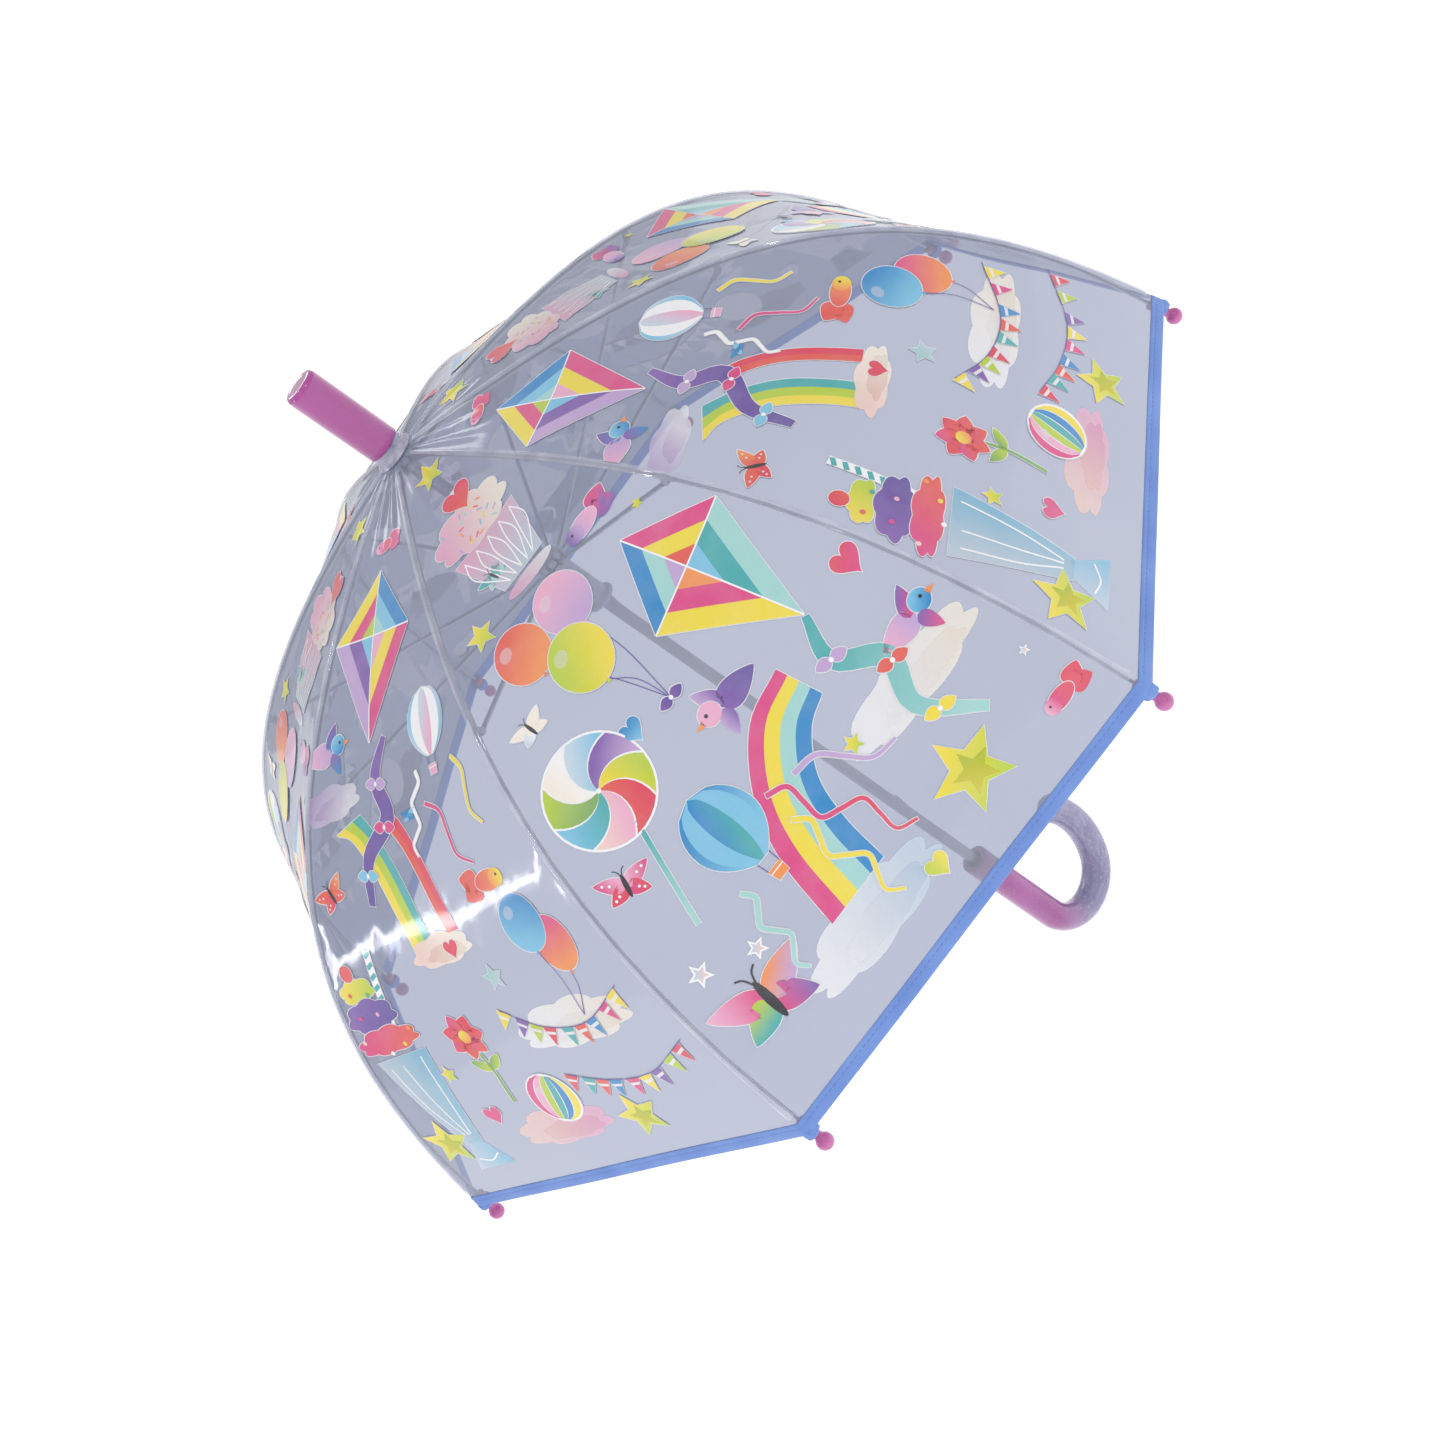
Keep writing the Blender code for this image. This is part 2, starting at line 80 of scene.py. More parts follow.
HANDLE_RADIUS = 0.0108
HANDLE_TOP_Z = RIM_Z - 0.2457
CROOK_START_Z = RIM_Z - 0.3336
TIGHT_BEND = (0.0319, math.radians(143))
WIDE_BEND = (0.0609, math.radians(57))

# Columns across half a gore, from the middle line (0) to the rib (1): closer near the rib.
COLUMNS = (0.0, 0.09, 0.18, 0.27, 0.36, 0.45, 0.54, 0.63, 0.71, 0.79, 0.86, 0.92, 0.965, 1.0)
ROW_STEP = 0.0075

# Heights of the film's sag, crown gathers, pulls at the ribs and broad swells.
SAG, GATHER, PULL, SWELL = 0.0030, 0.0007, 0.0005, 0.0006
SLOPE_STEP = 0.001            # arc length over which the slope of a gore is taken


# ---- the canopy's surface ---------------------------------------------------------------------
def ridge_points(u):
    """Ridge over a rib as arrays (radius, height), u from 0 at the crown to 1 at the hem."""
    weights = ((1 - u) ** 3, 3 * (1 - u) ** 2 * u, 3 * (1 - u) * u * u, u ** 3)
    radius = sum(w * p[0] for w, p in zip(weights, RIDGE)) * RIM_RADIUS
    height = sum(w * p[1] for w, p in zip(weights, RIDGE)) * RIM_RADIUS
    return radius, RIM_Z + height


TABLE_U = np.linspace(0.0, 1.0, 801)
TABLE_RADIUS, TABLE_Z = ridge_points(TABLE_U)
TABLE_MID = TABLE_RADIUS * math.cos(HALF)
TABLE_V = np.concatenate(([0.0], np.cumsum(np.hypot(np.diff(TABLE_MID), np.diff(TABLE_Z)))))
GORE_LENGTH = float(TABLE_V[-1])


def v_at(u):
    """Arc length along a gore's middle line at curve parameter u."""
    return float(np.interp(u, TABLE_U, TABLE_V))


def half_width(v):
    """Half the width of a gore at arc length v."""
    return np.interp(v, TABLE_V, TABLE_MID) * math.tan(HALF)


FILM_START_V = v_at(FILM_START_U)
FLEX_V = v_at(FLEX_U)
HEM_V = GORE_LENGTH - HEM_HEIGHT


def ripple(gore, q, v):
    """Height of the film off a flat gore: a slight sag, radial gathers at the crown, pulls at the ribs."""
    q = np.asarray(q, float)
    v = np.asarray(v, float)
    inside = 1 - q * q
    sag = -SAG * np.sin(math.pi * np.clip(v / 0.47, 0, 1)) * inside
    gathers = np.exp(-((v - 0.034) / 0.026) ** 2) * np.cos(3.2 * math.pi * q + 1.7 * gore)
    from_rib = (1 - np.abs(q)) * half_width(v)
    side = np.where(q < 0, gore, gore + 1)
    pull = np.exp(-(from_rib / 0.020) ** 2) * (1 - np.exp(-(from_rib / 0.006) ** 2))
    pulls = pull * np.sin(v / 0.0068 + 2.1 * side) * np.exp(-((v - 0.20) / 0.13) ** 2)
    swell = np.sin(v / 0.045 + 1.3 * gore) * np.cos(1.5 * math.pi * q + 0.9 * gore) * inside
    return sag + GATHER * gathers * inside + PULL * pulls + SWELL * swell * np.clip(v / 0.2, 0, 1)


def mid_azimuth(gore):
    """Azimuth of the middle of gore 1..8; gore n spans ribs n and n + 1."""
    return STEP * (gore - 1) + HALF


def on_gore(gore, q, v, lift=0.0):
    """Points of a gore at q from -1 at its own rib to 1 at the next, and arc length v."""
    q, v, lift = np.broadcast_arrays(np.asarray(q, float), np.asarray(v, float), np.asarray(lift, float))
    middle = np.interp(v, TABLE_V, TABLE_MID)
    height = np.interp(v, TABLE_V, TABLE_Z)
    above, below = v - SLOPE_STEP, v + SLOPE_STEP
    run = np.interp(below, TABLE_V, TABLE_MID) - np.interp(above, TABLE_V, TABLE_MID)
    fall = np.interp(below, TABLE_V, TABLE_Z) - np.interp(above, TABLE_V, TABLE_Z)
    size = np.hypot(run, fall)
    off = ripple(gore, q, v) + lift
    outward = middle - fall / size * off
    height = height + run / size * off
    across = q * middle * math.tan(HALF)
    c, s = math.cos(mid_azimuth(gore)), math.sin(mid_azimuth(gore))
    return np.stack((outward * c - across * s, outward * s + across * c, height), axis=-1)


def gore_normal(gore, q, v):
    """Outward unit normals of a gore, with its ripples."""
    q, v = np.broadcast_arrays(np.asarray(q, float), np.asarray(v, float))
    low, high = np.clip(q - 0.01, -1, 1), np.clip(q + 0.01, -1, 1)
    across = on_gore(gore, high, v) - on_gore(gore, low, v)
    down = on_gore(gore, q, v + 0.0008) - on_gore(gore, q, v - 0.0008)
    normal = np.cross(down, across)
    return normal / np.linalg.norm(normal, axis=-1, keepdims=True)


def gore_before(k):
    """The gore on the other side of rib k from gore k."""
    return RIB_COUNT if k == 1 else k - 1


def rib_azimuth(k):
    return STEP * (k - 1)


def radial(azimuth):
    return Vector((math.cos(azimuth), math.sin(azimuth), 0.0))


def tangential(azimuth):
    return Vector((-math.sin(azimuth), math.cos(azimuth), 0.0))


def film_rows():
    """Arc lengths of every row of the film's grid."""
    return rows_between(*SECTIONS["upper"]) + rows_between(*SECTIONS["lower"])[1:]


FACETS = {}


def on_film(gore, q, v, lift):
    """Points and normals on the film's own facets, so that what is printed lies on them everywhere."""
    if not FACETS:
        FACETS["v"] = np.array(film_rows())
        FACETS["q"] = np.concatenate((-np.array(COLUMNS[:0:-1]), np.array(COLUMNS)))
    rows, columns = FACETS["v"], FACETS["q"]
    if gore not in FACETS:
        grid_q, grid_v = np.meshgrid(columns, rows)
        FACETS[gore] = on_gore(gore, grid_q, grid_v), gore_normal(gore, grid_q, grid_v)
    i = np.clip(np.searchsorted(rows, v, side="right") - 1, 0, len(rows) - 2)
    j = np.clip(np.searchsorted(columns, q, side="right") - 1, 0, len(columns) - 2)
    down = ((v - rows[i]) / (rows[i + 1] - rows[i]))[:, None]
    across = ((q - columns[j]) / (columns[j + 1] - columns[j]))[:, None]
    spot, normal = [(f[i, j] * (1 - across) + f[i, j + 1] * across) * (1 - down)
                    + (f[i + 1, j] * (1 - across) + f[i + 1, j + 1] * across) * down for f in FACETS[gore]]
    normal /= np.linalg.norm(normal, axis=1, keepdims=True)
    return spot + normal * np.reshape(lift, (-1, 1)), normal


# ---- mesh helpers -----------------------------------------------------------------------------
def make_object(name, points, faces, materials, smooth=True):
    mesh = bpy.data.meshes.new(name)
    mesh.from_pydata([tuple(p) for p in points], [], [tuple(f) for f in faces])
    mesh.update()
    for mat in materials:
        mesh.materials.append(mat)
    if smooth:
        mesh.shade_smooth()
    obj = bpy.data.objects.new(name, mesh)
    bpy.context.scene.collection.objects.link(obj)
    return obj


def sharpen(obj, degrees):
    """Smooth shading that breaks at edges sharper than this."""
    obj.data.set_sharp_from_angle(angle=math.radians(degrees))


def grid_faces(rows, columns, closed=False):
    """Quads of a grid of points given row by row; closed joins each row's end to its start."""
    faces = []
    for i in range(rows - 1):
        for j in range(columns - (0 if closed else 1)):
            k = (j + 1) % columns
            faces.append((i * columns + j, (i + 1) * columns + j, (i + 1) * columns + k, i * columns + k))
    return faces


def axis_frame(axis):
    """Two unit vectors square to axis."""
    side = Vector((0, 0, 1)).cross(axis)
    if side.length < 1e-6:
        side = Vector((1, 0, 0))
    side.normalize()
    return side, axis.cross(side).normalized()


def ring_faces(rings, sides):
    """Faces between neighbouring rings of points; a ring of one point closes an end."""
    faces = []
    for a, b in rings:
        for i in range(sides):
            j = (i + 1) % sides
            if len(a) == 1:
                faces.append((a[0], b[j], b[i]))
            elif len(b) == 1:
                faces.append((a[i], a[j], b[0]))
            else:
                faces.append((a[i], a[j], b[j], b[i]))
    return faces


def turned(name, outline, material, sides=64, origin=Vector((0, 0, 0)), axis=Vector((0, 0, 1))):
    """A body of revolution; outline is (radius, along) and a radius of 0 closes the end."""
    e1, e2 = axis_frame(axis)
    points, rings = [], []
    for radius, along in outline:
        if radius == 0:
            rings.append([len(points)])
            points.append(origin + axis * along)
            continue
        rings.append(list(range(len(points), len(points) + sides)))
        for i in range(sides):
            t = 2 * math.pi * i / sides
            points.append(origin + axis * along + (e1 * math.cos(t) + e2 * math.sin(t)) * radius)
    pairs = list(zip(rings, rings[1:]))
    if len(rings[0]) > 1:
        pairs.append((rings[-1], rings[0]))
    obj = make_object(name, points, ring_faces(pairs, sides), [material])
    fix_normals(obj)
    return obj


def fix_normals(obj):
    bm = bmesh.new()
    bm.from_mesh(obj.data)
    bmesh.ops.recalc_face_normals(bm, faces=bm.faces)
    bm.to_mesh(obj.data)
    bm.free()


def rounded(corners, radius, steps=5):
    """Outline with its inner corners rounded by short arcs."""
    out = [corners[0]]
    for before, corner, after in zip(corners, corners[1:], corners[2:]):
        a, b, c = Vector(before), Vector(corner), Vector(after)
        reach = min(radius, (a - b).length * 0.45, (c - b).length * 0.45)
        start, end = b + (a - b).normalized() * reach, b + (c - b).normalized() * reach
        for i in range(steps + 1):
            t = i / steps
            out.append(tuple(start * (1 - t) ** 2 + b * 2 * t * (1 - t) + end * t * t))
    out.append(corners[-1])
    return out


# ---- materials --------------------------------------------------------------------------------
def srgb(r, g, b):
    """Linear colour of a display colour given from 0 to 255."""
    return tuple((c / 255 / 12.92) if c <= 10 else ((c / 255 + 0.055) / 1.055) ** 2.4 for c in (r, g, b))


class Shader:
    """A material's node tree, built up node by node."""

    def __init__(self, name):
        self.material = bpy.data.materials.new(name)
        self.material.use_nodes = True
        self.tree = self.material.node_tree
        self.tree.nodes.clear()

    def add(self, kind, props=None, **inputs):
        node = self.tree.nodes.new(kind)
        for key, value in (props or {}).items():
            setattr(node, key, value)
        for key, value in inputs.items():
            name = key.replace("_", " ")
            socket = node.inputs[int(key[1:])] if key[0] == "i" and key[1:].isdigit() else node.inputs[name]
            self.put(socket, value)
        return node

    def put(self, socket, value):
        if isinstance(value, bpy.types.NodeSocket):
            self.tree.links.new(value, socket)
        elif isinstance(value, bpy.types.Node):
            self.tree.links.new(value.outputs[0], socket)
        elif isinstance(value, tuple) and len(value) == 3 and socket.type == "RGBA":
            socket.default_value = (*value, 1.0)
        else:
            socket.default_value = value

    def math(self, operation, a, b=0.0, clamp=False):
        return self.add("ShaderNodeMath", {"operation": operation, "use_clamp": clamp}, i0=a, i1=b).outputs[0]

    def vector_math(self, operation, **inputs):
        return self.add("ShaderNodeVectorMath", {"operation": operation}, **inputs).outputs[0]

    def place(self, scale=(1.0, 1.0, 1.0)):
        """Object coordinates, scaled."""
        coords = self.add("ShaderNodeTexCoord").outputs["Object"]
        return self.add("ShaderNodeMapping", Vector=coords, Scale=scale).outputs[0]

    def noise(self, scale, detail=3.0, roughness=0.5, vector=None):
        vector = vector or self.place()
        return self.add("ShaderNodeTexNoise", Vector=vector, Scale=scale, Detail=detail,
                        Roughness=roughness).outputs["Fac"]

    def ramp(self, value, low, high, out_low=0.0, out_high=1.0):
        return self.add("ShaderNodeMapRange", {"clamp": True}, i0=value, i1=low, i2=high, i3=out_low,
                        i4=out_high).outputs[0]

    def mix(self, fac, a, b, kind="MIX"):
        node = self.add("ShaderNodeMix", {"data_type": "RGBA", "blend_type": kind})
        self.put(node.inputs[0], fac)
        self.put(node.inputs[6], a)
        self.put(node.inputs[7], b)
        return node.outputs[2]

    def bump(self, height, strength, distance, normal=None):
        node = self.add("ShaderNodeBump", Height=height, Strength=strength, Distance=distance)
        if normal is not None:
            self.put(node.inputs["Normal"], normal)
        return node.outputs[0]

    def finish(self, surface):
        self.add("ShaderNodeOutputMaterial", Surface=surface)
        return self.material


def principled(sh, **inputs):
    return sh.add("ShaderNodeBsdfPrincipled", **inputs)


def see_through(sh, body, tint, share, lamp_tint):
    """Body over what is behind it, by share; lamps reach through with their own tint."""
    clear = sh.add("ShaderNodeBsdfTransparent", Color=tint)
    seen = sh.add("ShaderNodeMixShader", i0=share, i1=clear, i2=body)
    lamp = sh.add("ShaderNodeLightPath").outputs["Is Shadow Ray"]
    open_way = sh.add("ShaderNodeBsdfTransparent", Color=lamp_tint)
    return sh.add("ShaderNodeMixShader", i0=lamp, i1=seen, i2=open_way)


def slant_share(sh, normal, power, gain, least):
    """Opacity that grows from least as the surface turns away."""
    slant = sh.add("ShaderNodeLayerWeight", Blend=0.5, Normal=normal).outputs["Facing"]
    return sh.math("ADD", sh.math("MULTIPLY", sh.math("POWER", slant, power), gain), least, clamp=True)


def film_material():
    """Clear vinyl: tinted, a little milky, denser at a slant, glossy and faintly wavy."""
    sh = Shader("film_vinyl")
    broad = sh.noise(26.0, 2.0)
    fine = sh.noise(240.0, 3.0)
    smear = sh.ramp(sh.noise(9.0, 4.0), 0.35, 0.7, 0.045, 0.11)
    normal = sh.bump(broad, 0.5, 0.0012)
    normal = sh.bump(fine, 0.25, 0.00012, normal)
    tint = sh.mix(sh.ramp(sh.noise(5.0, 2.0), 0.3, 0.7), srgb(198, 204, 226), srgb(212, 217, 233))
    body = principled(sh, Base_Color=tint, Roughness=smear, Normal=normal, Specular_IOR_Level=0.9,
                      Coat_Weight=0.6, Coat_Roughness=0.03)
    share = slant_share(sh, normal, 2.8, 0.24, 0.35)
    return sh.finish(see_through(sh, body, (0.35, 0.375, 0.46), share, (0.94, 0.94, 0.95)))


def weld_material():
    """The clear welded channel over each rib: thicker vinyl with sharper gloss, and a near-white body colour,
    denser at a slant, that paints a bright highlight line over the rib.
    """
    sh = Shader("weld_vinyl")
    marks = sh.noise(320.0, 2.0)
    normal = sh.bump(marks, 0.3, 0.0002)
    # Near-white body colour is a painted highlight: the whitish line a reflection would lay over the rib,
    # whiter towards the edges through the slant share below.
    tint = sh.mix(sh.ramp(sh.noise(60.0), 0.35, 0.65), srgb(206, 208, 222), srgb(240, 240, 247))
    body = principled(sh, Base_Color=tint, Roughness=sh.ramp(marks, 0.3, 0.7, 0.05, 0.14), Normal=normal,
                      Specular_IOR_Level=1.0, Coat_Weight=1.0, Coat_Roughness=0.02)
    share = slant_share(sh, normal, 2.0, 0.55, 0.30)
    return sh.finish(see_through(sh, body, srgb(246, 247, 251), share, (0.97, 0.97, 0.98)))


def print_material(name, alpha_gain, rough):
    """Ink on the vinyl: the piece's own colours with a watercolour mottle, under a clear gloss."""
    sh = Shader(name)
    ink = sh.add("ShaderNodeVertexColor", {"layer_name": "ink"})
    wash = sh.ramp(sh.noise(55.0, 5.0, 0.6), 0.25, 0.75, 0.0, 1.0)
    grain = sh.ramp(sh.noise(900.0, 2.0), 0.3, 0.7, 0.0, 1.0)
    lighter = sh.mix(sh.math("MULTIPLY", wash, 0.10), ink.outputs["Color"], (0.92, 0.92, 0.95))
    colour = sh.mix(sh.math("MULTIPLY", grain, 0.14), lighter, (0.80, 0.74, 0.82), "MULTIPLY")
    normal = sh.bump(sh.noise(26.0, 2.0), 0.5, 0.0012)
    normal = sh.bump(grain, 0.2, 0.00006, normal)
    body = principled(sh, Base_Color=colour, Roughness=sh.ramp(wash, 0.0, 1.0, rough, rough + 0.12),
                      Normal=normal, Coat_Weight=0.45, Coat_Roughness=0.05)
    clear = sh.add("ShaderNodeBsdfTransparent")
    share = sh.math("MULTIPLY", ink.outputs["Alpha"], alpha_gain, clamp=True)
    return sh.finish(sh.add("ShaderNodeMixShader", i0=share, i1=clear, i2=body))


def tape_material():
    """Woven blue binding tape, with painted shade darkening the low gaps between threads."""
    sh = Shader("hem_tape_weave")
    at = sh.place()
    weave = sh.add("ShaderNodeTexWave", {"wave_type": "BANDS", "bands_direction": "Z"}, Vector=at,
                   Scale=520.0, Distortion=1.5, Detail=2.0, Detail_Scale=3.0).outputs["Fac"]
    cross = sh.add("ShaderNodeTexWave", {"wave_type": "BANDS", "bands_direction": "DIAGONAL"}, Vector=at,
                   Scale=420.0, Distortion=2.0, Detail=2.0, Detail_Scale=4.0).outputs["Fac"]
    threads = sh.math("ADD", sh.math("MULTIPLY", weave, 0.5), sh.math("MULTIPLY", cross, 0.5))
    tone = sh.ramp(sh.noise(38.0, 4.0), 0.3, 0.7)
    base = sh.mix(tone, srgb(112, 146, 218), srgb(132, 166, 232))
    # Painted shade: darker blue where the weave's bump height is low, in the gaps between threads.
    base = sh.mix(sh.ramp(threads, 0.25, 0.75, 0.35, 0.0), base, srgb(84, 116, 196))
    normal = sh.bump(threads, 0.55, 0.00018)
    body = principled(sh, Base_Color=base, Roughness=sh.ramp(threads, 0.0, 1.0, 0.8, 0.62), Normal=normal,
                      Sheen_Weight=0.25, Sheen_Roughness=0.4)
    return sh.finish(body)


def thread_material():
    sh = Shader("hem_thread")
    twist = sh.noise(1500.0, 2.0)
    base = sh.mix(twist, srgb(92, 124, 200), srgb(120, 150, 220))
    return sh.finish(principled(sh, Base_Color=base, Roughness=sh.ramp(twist, 0.3, 0.7, 0.55, 0.75),
                                Normal=sh.bump(twist, 0.5, 0.0001)))


def steel_material(name, base, rough, scale):
    """Drawn, zinc-plated steel: fine streaks, dull spots, slight uneven tone."""
    sh = Shader(name)
    streak = sh.noise(60.0, 3.0, 0.6, sh.place(scale))
    spots = sh.noise(180.0, 4.0)
    dark = tuple(c * 0.72 for c in base)
    colour = sh.mix(sh.ramp(streak, 0.3, 0.7), dark, base)
    colour = sh.mix(sh.ramp(spots, 0.58, 0.75, 0.0, 0.35), colour, tuple(c * 0.5 for c in base))
    roughness = sh.ramp(streak, 0.25, 0.75, rough, rough + 0.16)
    return sh.finish(principled(sh, Base_Color=colour, Metallic=1.0, Roughness=roughness,
                                Normal=sh.bump(streak, 0.25, 0.0002)))


def plastic_material(name, base, deep, rough, coat, speckle=400.0):
    """Moulded plastic: soft tone drift, fine orange peel and rubbed patches."""
    sh = Shader(name)
    drift = sh.ramp(sh.noise(22.0, 3.0), 0.3, 0.7)
    peel = sh.noise(speckle, 2.0)
    rubbed = sh.ramp(sh.noise(70.0, 5.0, 0.65), 0.5, 0.72)
    colour = sh.mix(drift, deep, base)
    colour = sh.mix(sh.math("MULTIPLY", rubbed, 0.05), colour, tuple(min(1.0, c + 0.25) for c in base))
    gloss = sh.ramp(peel, 0.3, 0.7, rough, rough + 0.05)
    roughness = sh.math("ADD", gloss, sh.math("MULTIPLY", rubbed, 0.08))
    return sh.finish(principled(sh, Base_Color=colour, Roughness=roughness, Coat_Weight=coat,
                                Coat_Roughness=0.06, Normal=sh.bump(peel, 0.03, 0.00003)))


def glitter_nodes(sh, scale, amount):
    """(mask, normal, flake colour) of flakes laid at random angles in clear plastic."""
    cells = sh.add("ShaderNodeTexVoronoi", Vector=sh.place(), Scale=scale)
    chance = sh.add("ShaderNodeSeparateColor", Color=cells.outputs["Color"])
    picked = sh.math("GREATER_THAN", chance.outputs[0], 1 - amount)
    body = sh.math("LESS_THAN", cells.outputs["Distance"], 0.42)
    mask = sh.math("MULTIPLY", picked, body)
    tilt = sh.vector_math("SUBTRACT", i0=cells.outputs["Color"], i1=(0.5, 0.5, 0.5))
    tilt = sh.vector_math("SCALE", i0=tilt, Scale=0.9)
    upright = sh.add("ShaderNodeNewGeometry").outputs["Normal"]
    normal = sh.vector_math("NORMALIZE", i0=sh.vector_math("ADD", i0=upright, i1=tilt))
    tint = sh.mix(chance.outputs[1], srgb(236, 238, 250), srgb(214, 196, 232))
    tint = sh.mix(sh.math("GREATER_THAN", chance.outputs[2], 0.7), tint, srgb(196, 226, 240))
    return mask, normal, tint


def handle_material():
    """Orchid plastic that fades in the crook to clear plastic full of glitter."""
    sh = Shader("handle_fade")
    fade = sh.add("ShaderNodeAttribute", {"attribute_name": "fade"}).outputs["Fac"]
    cloudy = sh.noise(90.0, 4.0, 0.6)
    ragged = sh.math("MULTIPLY", sh.math("SUBTRACT", cloudy, 0.5), 0.25)
    fade = sh.ramp(sh.math("ADD", fade, ragged), 0.0, 1.0)
    drift = sh.ramp(sh.noise(24.0, 3.0), 0.3, 0.7)
    orchid = sh.mix(drift, srgb(150, 62, 136), srgb(172, 84, 158))
    grey = sh.mix(sh.ramp(cloudy, 0.3, 0.7), srgb(142, 138, 172), srgb(172, 168, 200))
    base = sh.mix(fade, orchid, grey)
    mask, flake_normal, flake = glitter_nodes(sh, 1150.0, 0.32)
    mask = sh.math("MULTIPLY", mask, sh.ramp(fade, 0.15, 0.75, 0.04, 0.6))
    peel = sh.noise(420.0, 2.0)
    smooth_normal = sh.bump(peel, 0.12, 0.0001)
    colour = sh.mix(mask, base, flake)
    normal = sh.add("ShaderNodeMix", {"data_type": "VECTOR"})
    sh.put(normal.inputs[0], mask)
    sh.put(normal.inputs[4], smooth_normal)
    sh.put(normal.inputs[5], flake_normal)
    body = principled(sh, Base_Color=colour, Metallic=sh.math("MULTIPLY", mask, 0.8),
                      Roughness=sh.ramp(peel, 0.3, 0.7, 0.20, 0.28), Normal=normal.outputs[1],
                      Coat_Weight=1.0, Coat_Roughness=0.04)
    clear = sh.add("ShaderNodeBsdfTransparent", Color=srgb(206, 204, 226))
    hole = sh.math("MULTIPLY", sh.ramp(fade, 0.3, 1.0, 0.0, 0.28), sh.math("SUBTRACT", 1.0, mask))
    return sh.finish(sh.add("ShaderNodeMixShader", i0=hole, i1=body, i2=clear))


def collar_material():
    """Clear, sparkling plastic collar under the ferrule."""
    sh = Shader("clear_collar")
    mask, _, flake = glitter_nodes(sh, 1700.0, 0.35)
    haze = sh.noise(160.0, 4.0)
    base = sh.mix(sh.ramp(haze, 0.3, 0.7), srgb(186, 182, 206), srgb(226, 224, 238))
    body = principled(sh, Base_Color=sh.mix(mask, base, flake), Roughness=sh.ramp(haze, 0.3, 0.7, 0.06, 0.16),
                      Normal=sh.bump(haze, 0.5, 0.0005), Coat_Weight=1.0, Coat_Roughness=0.03)
    clear = sh.add("ShaderNodeBsdfTransparent", Color=srgb(232, 232, 242))
    return sh.finish(sh.add("ShaderNodeMixShader", i0=sh.ramp(haze, 0.3, 0.7, 0.45, 0.7), i1=clear, i2=body))


def tip_material():
    """Soft pink plastic of the rib tips, slightly see-through."""
    sh = Shader("tip_plastic")
    drift = sh.noise(140.0, 3.0)
    colour = sh.mix(sh.ramp(drift, 0.3, 0.7), srgb(186, 82, 152), srgb(206, 108, 174))
    peel = sh.noise(700.0, 2.0)
    return sh.finish(principled(sh, Base_Color=colour, Roughness=sh.ramp(peel, 0.3, 0.7, 0.22, 0.32),
                                Normal=sh.bump(peel, 0.15, 0.00008), Coat_Weight=0.7, Coat_Roughness=0.08,
                                Subsurface_Weight=0.2, Subsurface_Radius=(0.004, 0.0015, 0.002)))


def floor_material():
    sh = Shader("studio_floor")
    tone = sh.ramp(sh.noise(3.0, 3.0), 0.3, 0.7)
    colour = sh.mix(tone, (0.90, 0.90, 0.905), (0.92, 0.92, 0.92))
    return sh.finish(principled(sh, Base_Color=colour, Roughness=0.85, Specular_IOR_Level=0.1,
                                Emission_Color=(1.0, 1.0, 1.0), Emission_Strength=0.60,
                                Normal=sh.bump(sh.noise(300.0), 0.05, 0.0002)))


FILM = film_material()
WELD = weld_material()
INK = print_material("ink_front", 1.0, 0.30)
BACKING = print_material("ink_backing", 1.0, 0.45)
TAPE = tape_material()
THREAD = thread_material()
SHAFT_STEEL = steel_material("steel_shaft", srgb(178, 180, 188), 0.28, (6.0, 6.0, 0.3))
RIB_STEEL = steel_material("steel_rib", srgb(206, 208, 214), 0.24, (1.0, 1.0, 1.0))
ORCHID = plastic_material("orchid_plastic", srgb(180, 74, 156), srgb(170, 66, 147), 0.18, 1.0, 260.0)
NYLON = plastic_material("nylon_white", srgb(216, 217, 222), srgb(196, 198, 206), 0.36, 0.2)
HANDLE = handle_material()
COLLAR = collar_material()
TIP = tip_material()


# ---- film, welded channels and hem tape ---------------------------------------------------------
def wedge_points(k, v, lift=0.0):
    """Points and normals across the wedge at arc length v."""
    before = gore_before(k)
    left, right = np.array(COLUMNS), -np.array(COLUMNS[::-1])
    normals = [gore_normal(before, left, v), gore_normal(k, right, v)]
    crest = normals[0][-1] + normals[1][0]
    normals[0][-1] = normals[1][0] = crest / np.linalg.norm(crest)
    points = [on_gore(gore, q, v) + n * lift for gore, q, n in zip((before, k), (left, right), normals)]
    return list(points[0]) + list(points[1][1:]), list(normals[0]) + list(normals[1][1:])


def rows_between(start, end):
    count = max(2, round((end - start) / ROW_STEP))
    return [start + (end - start) * i / count for i in range(count + 1)]


def set_normals(obj, normals):
    obj.data.normals_split_custom_set_from_vertices([tuple(float(c) for c in n) for n in normals])


def part_of(k, section):
    return f"rib_{section}_{k}"


def carry_soft(obj, k, section):
    """The piece rides on its rib, with a mesh of its own."""
    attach(obj, part_of(k, section))
    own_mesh(obj)


FILM_TUCK = 0.0012            # how far the film stops short of the tape's fold
SECTIONS = {"upper": (FILM_START_V, FLEX_V), "lower": (FLEX_V, GORE_LENGTH - FILM_TUCK)}


def make_film(k, section):
    rows = rows_between(*SECTIONS[section])
    points, normals = [], []
    for v in rows:
        p, n = wedge_points(k, v)
        points += p
        normals += n
    obj = make_object(f"film_{section}_{k}", points, grid_faces(len(rows), len(p)), [FILM])
    set_normals(obj, normals)
    return obj


# Section across a channel, (mm from the rib, mm off the film).
CHANNEL = ((-2.6, 0.05), (-2.3, 0.26), (-1.9, 0.10), (-1.4, 0.35), (-0.9, 0.80), (-0.35, 1.05), (0.35, 1.05),
           (0.9, 0.80), (1.4, 0.35), (1.9, 0.10), (2.3, 0.26), (2.6, 0.05))


CHANNEL_START, CHANNEL_FULL = 0.016, 0.050     # where it starts, and how long it takes to reach full size


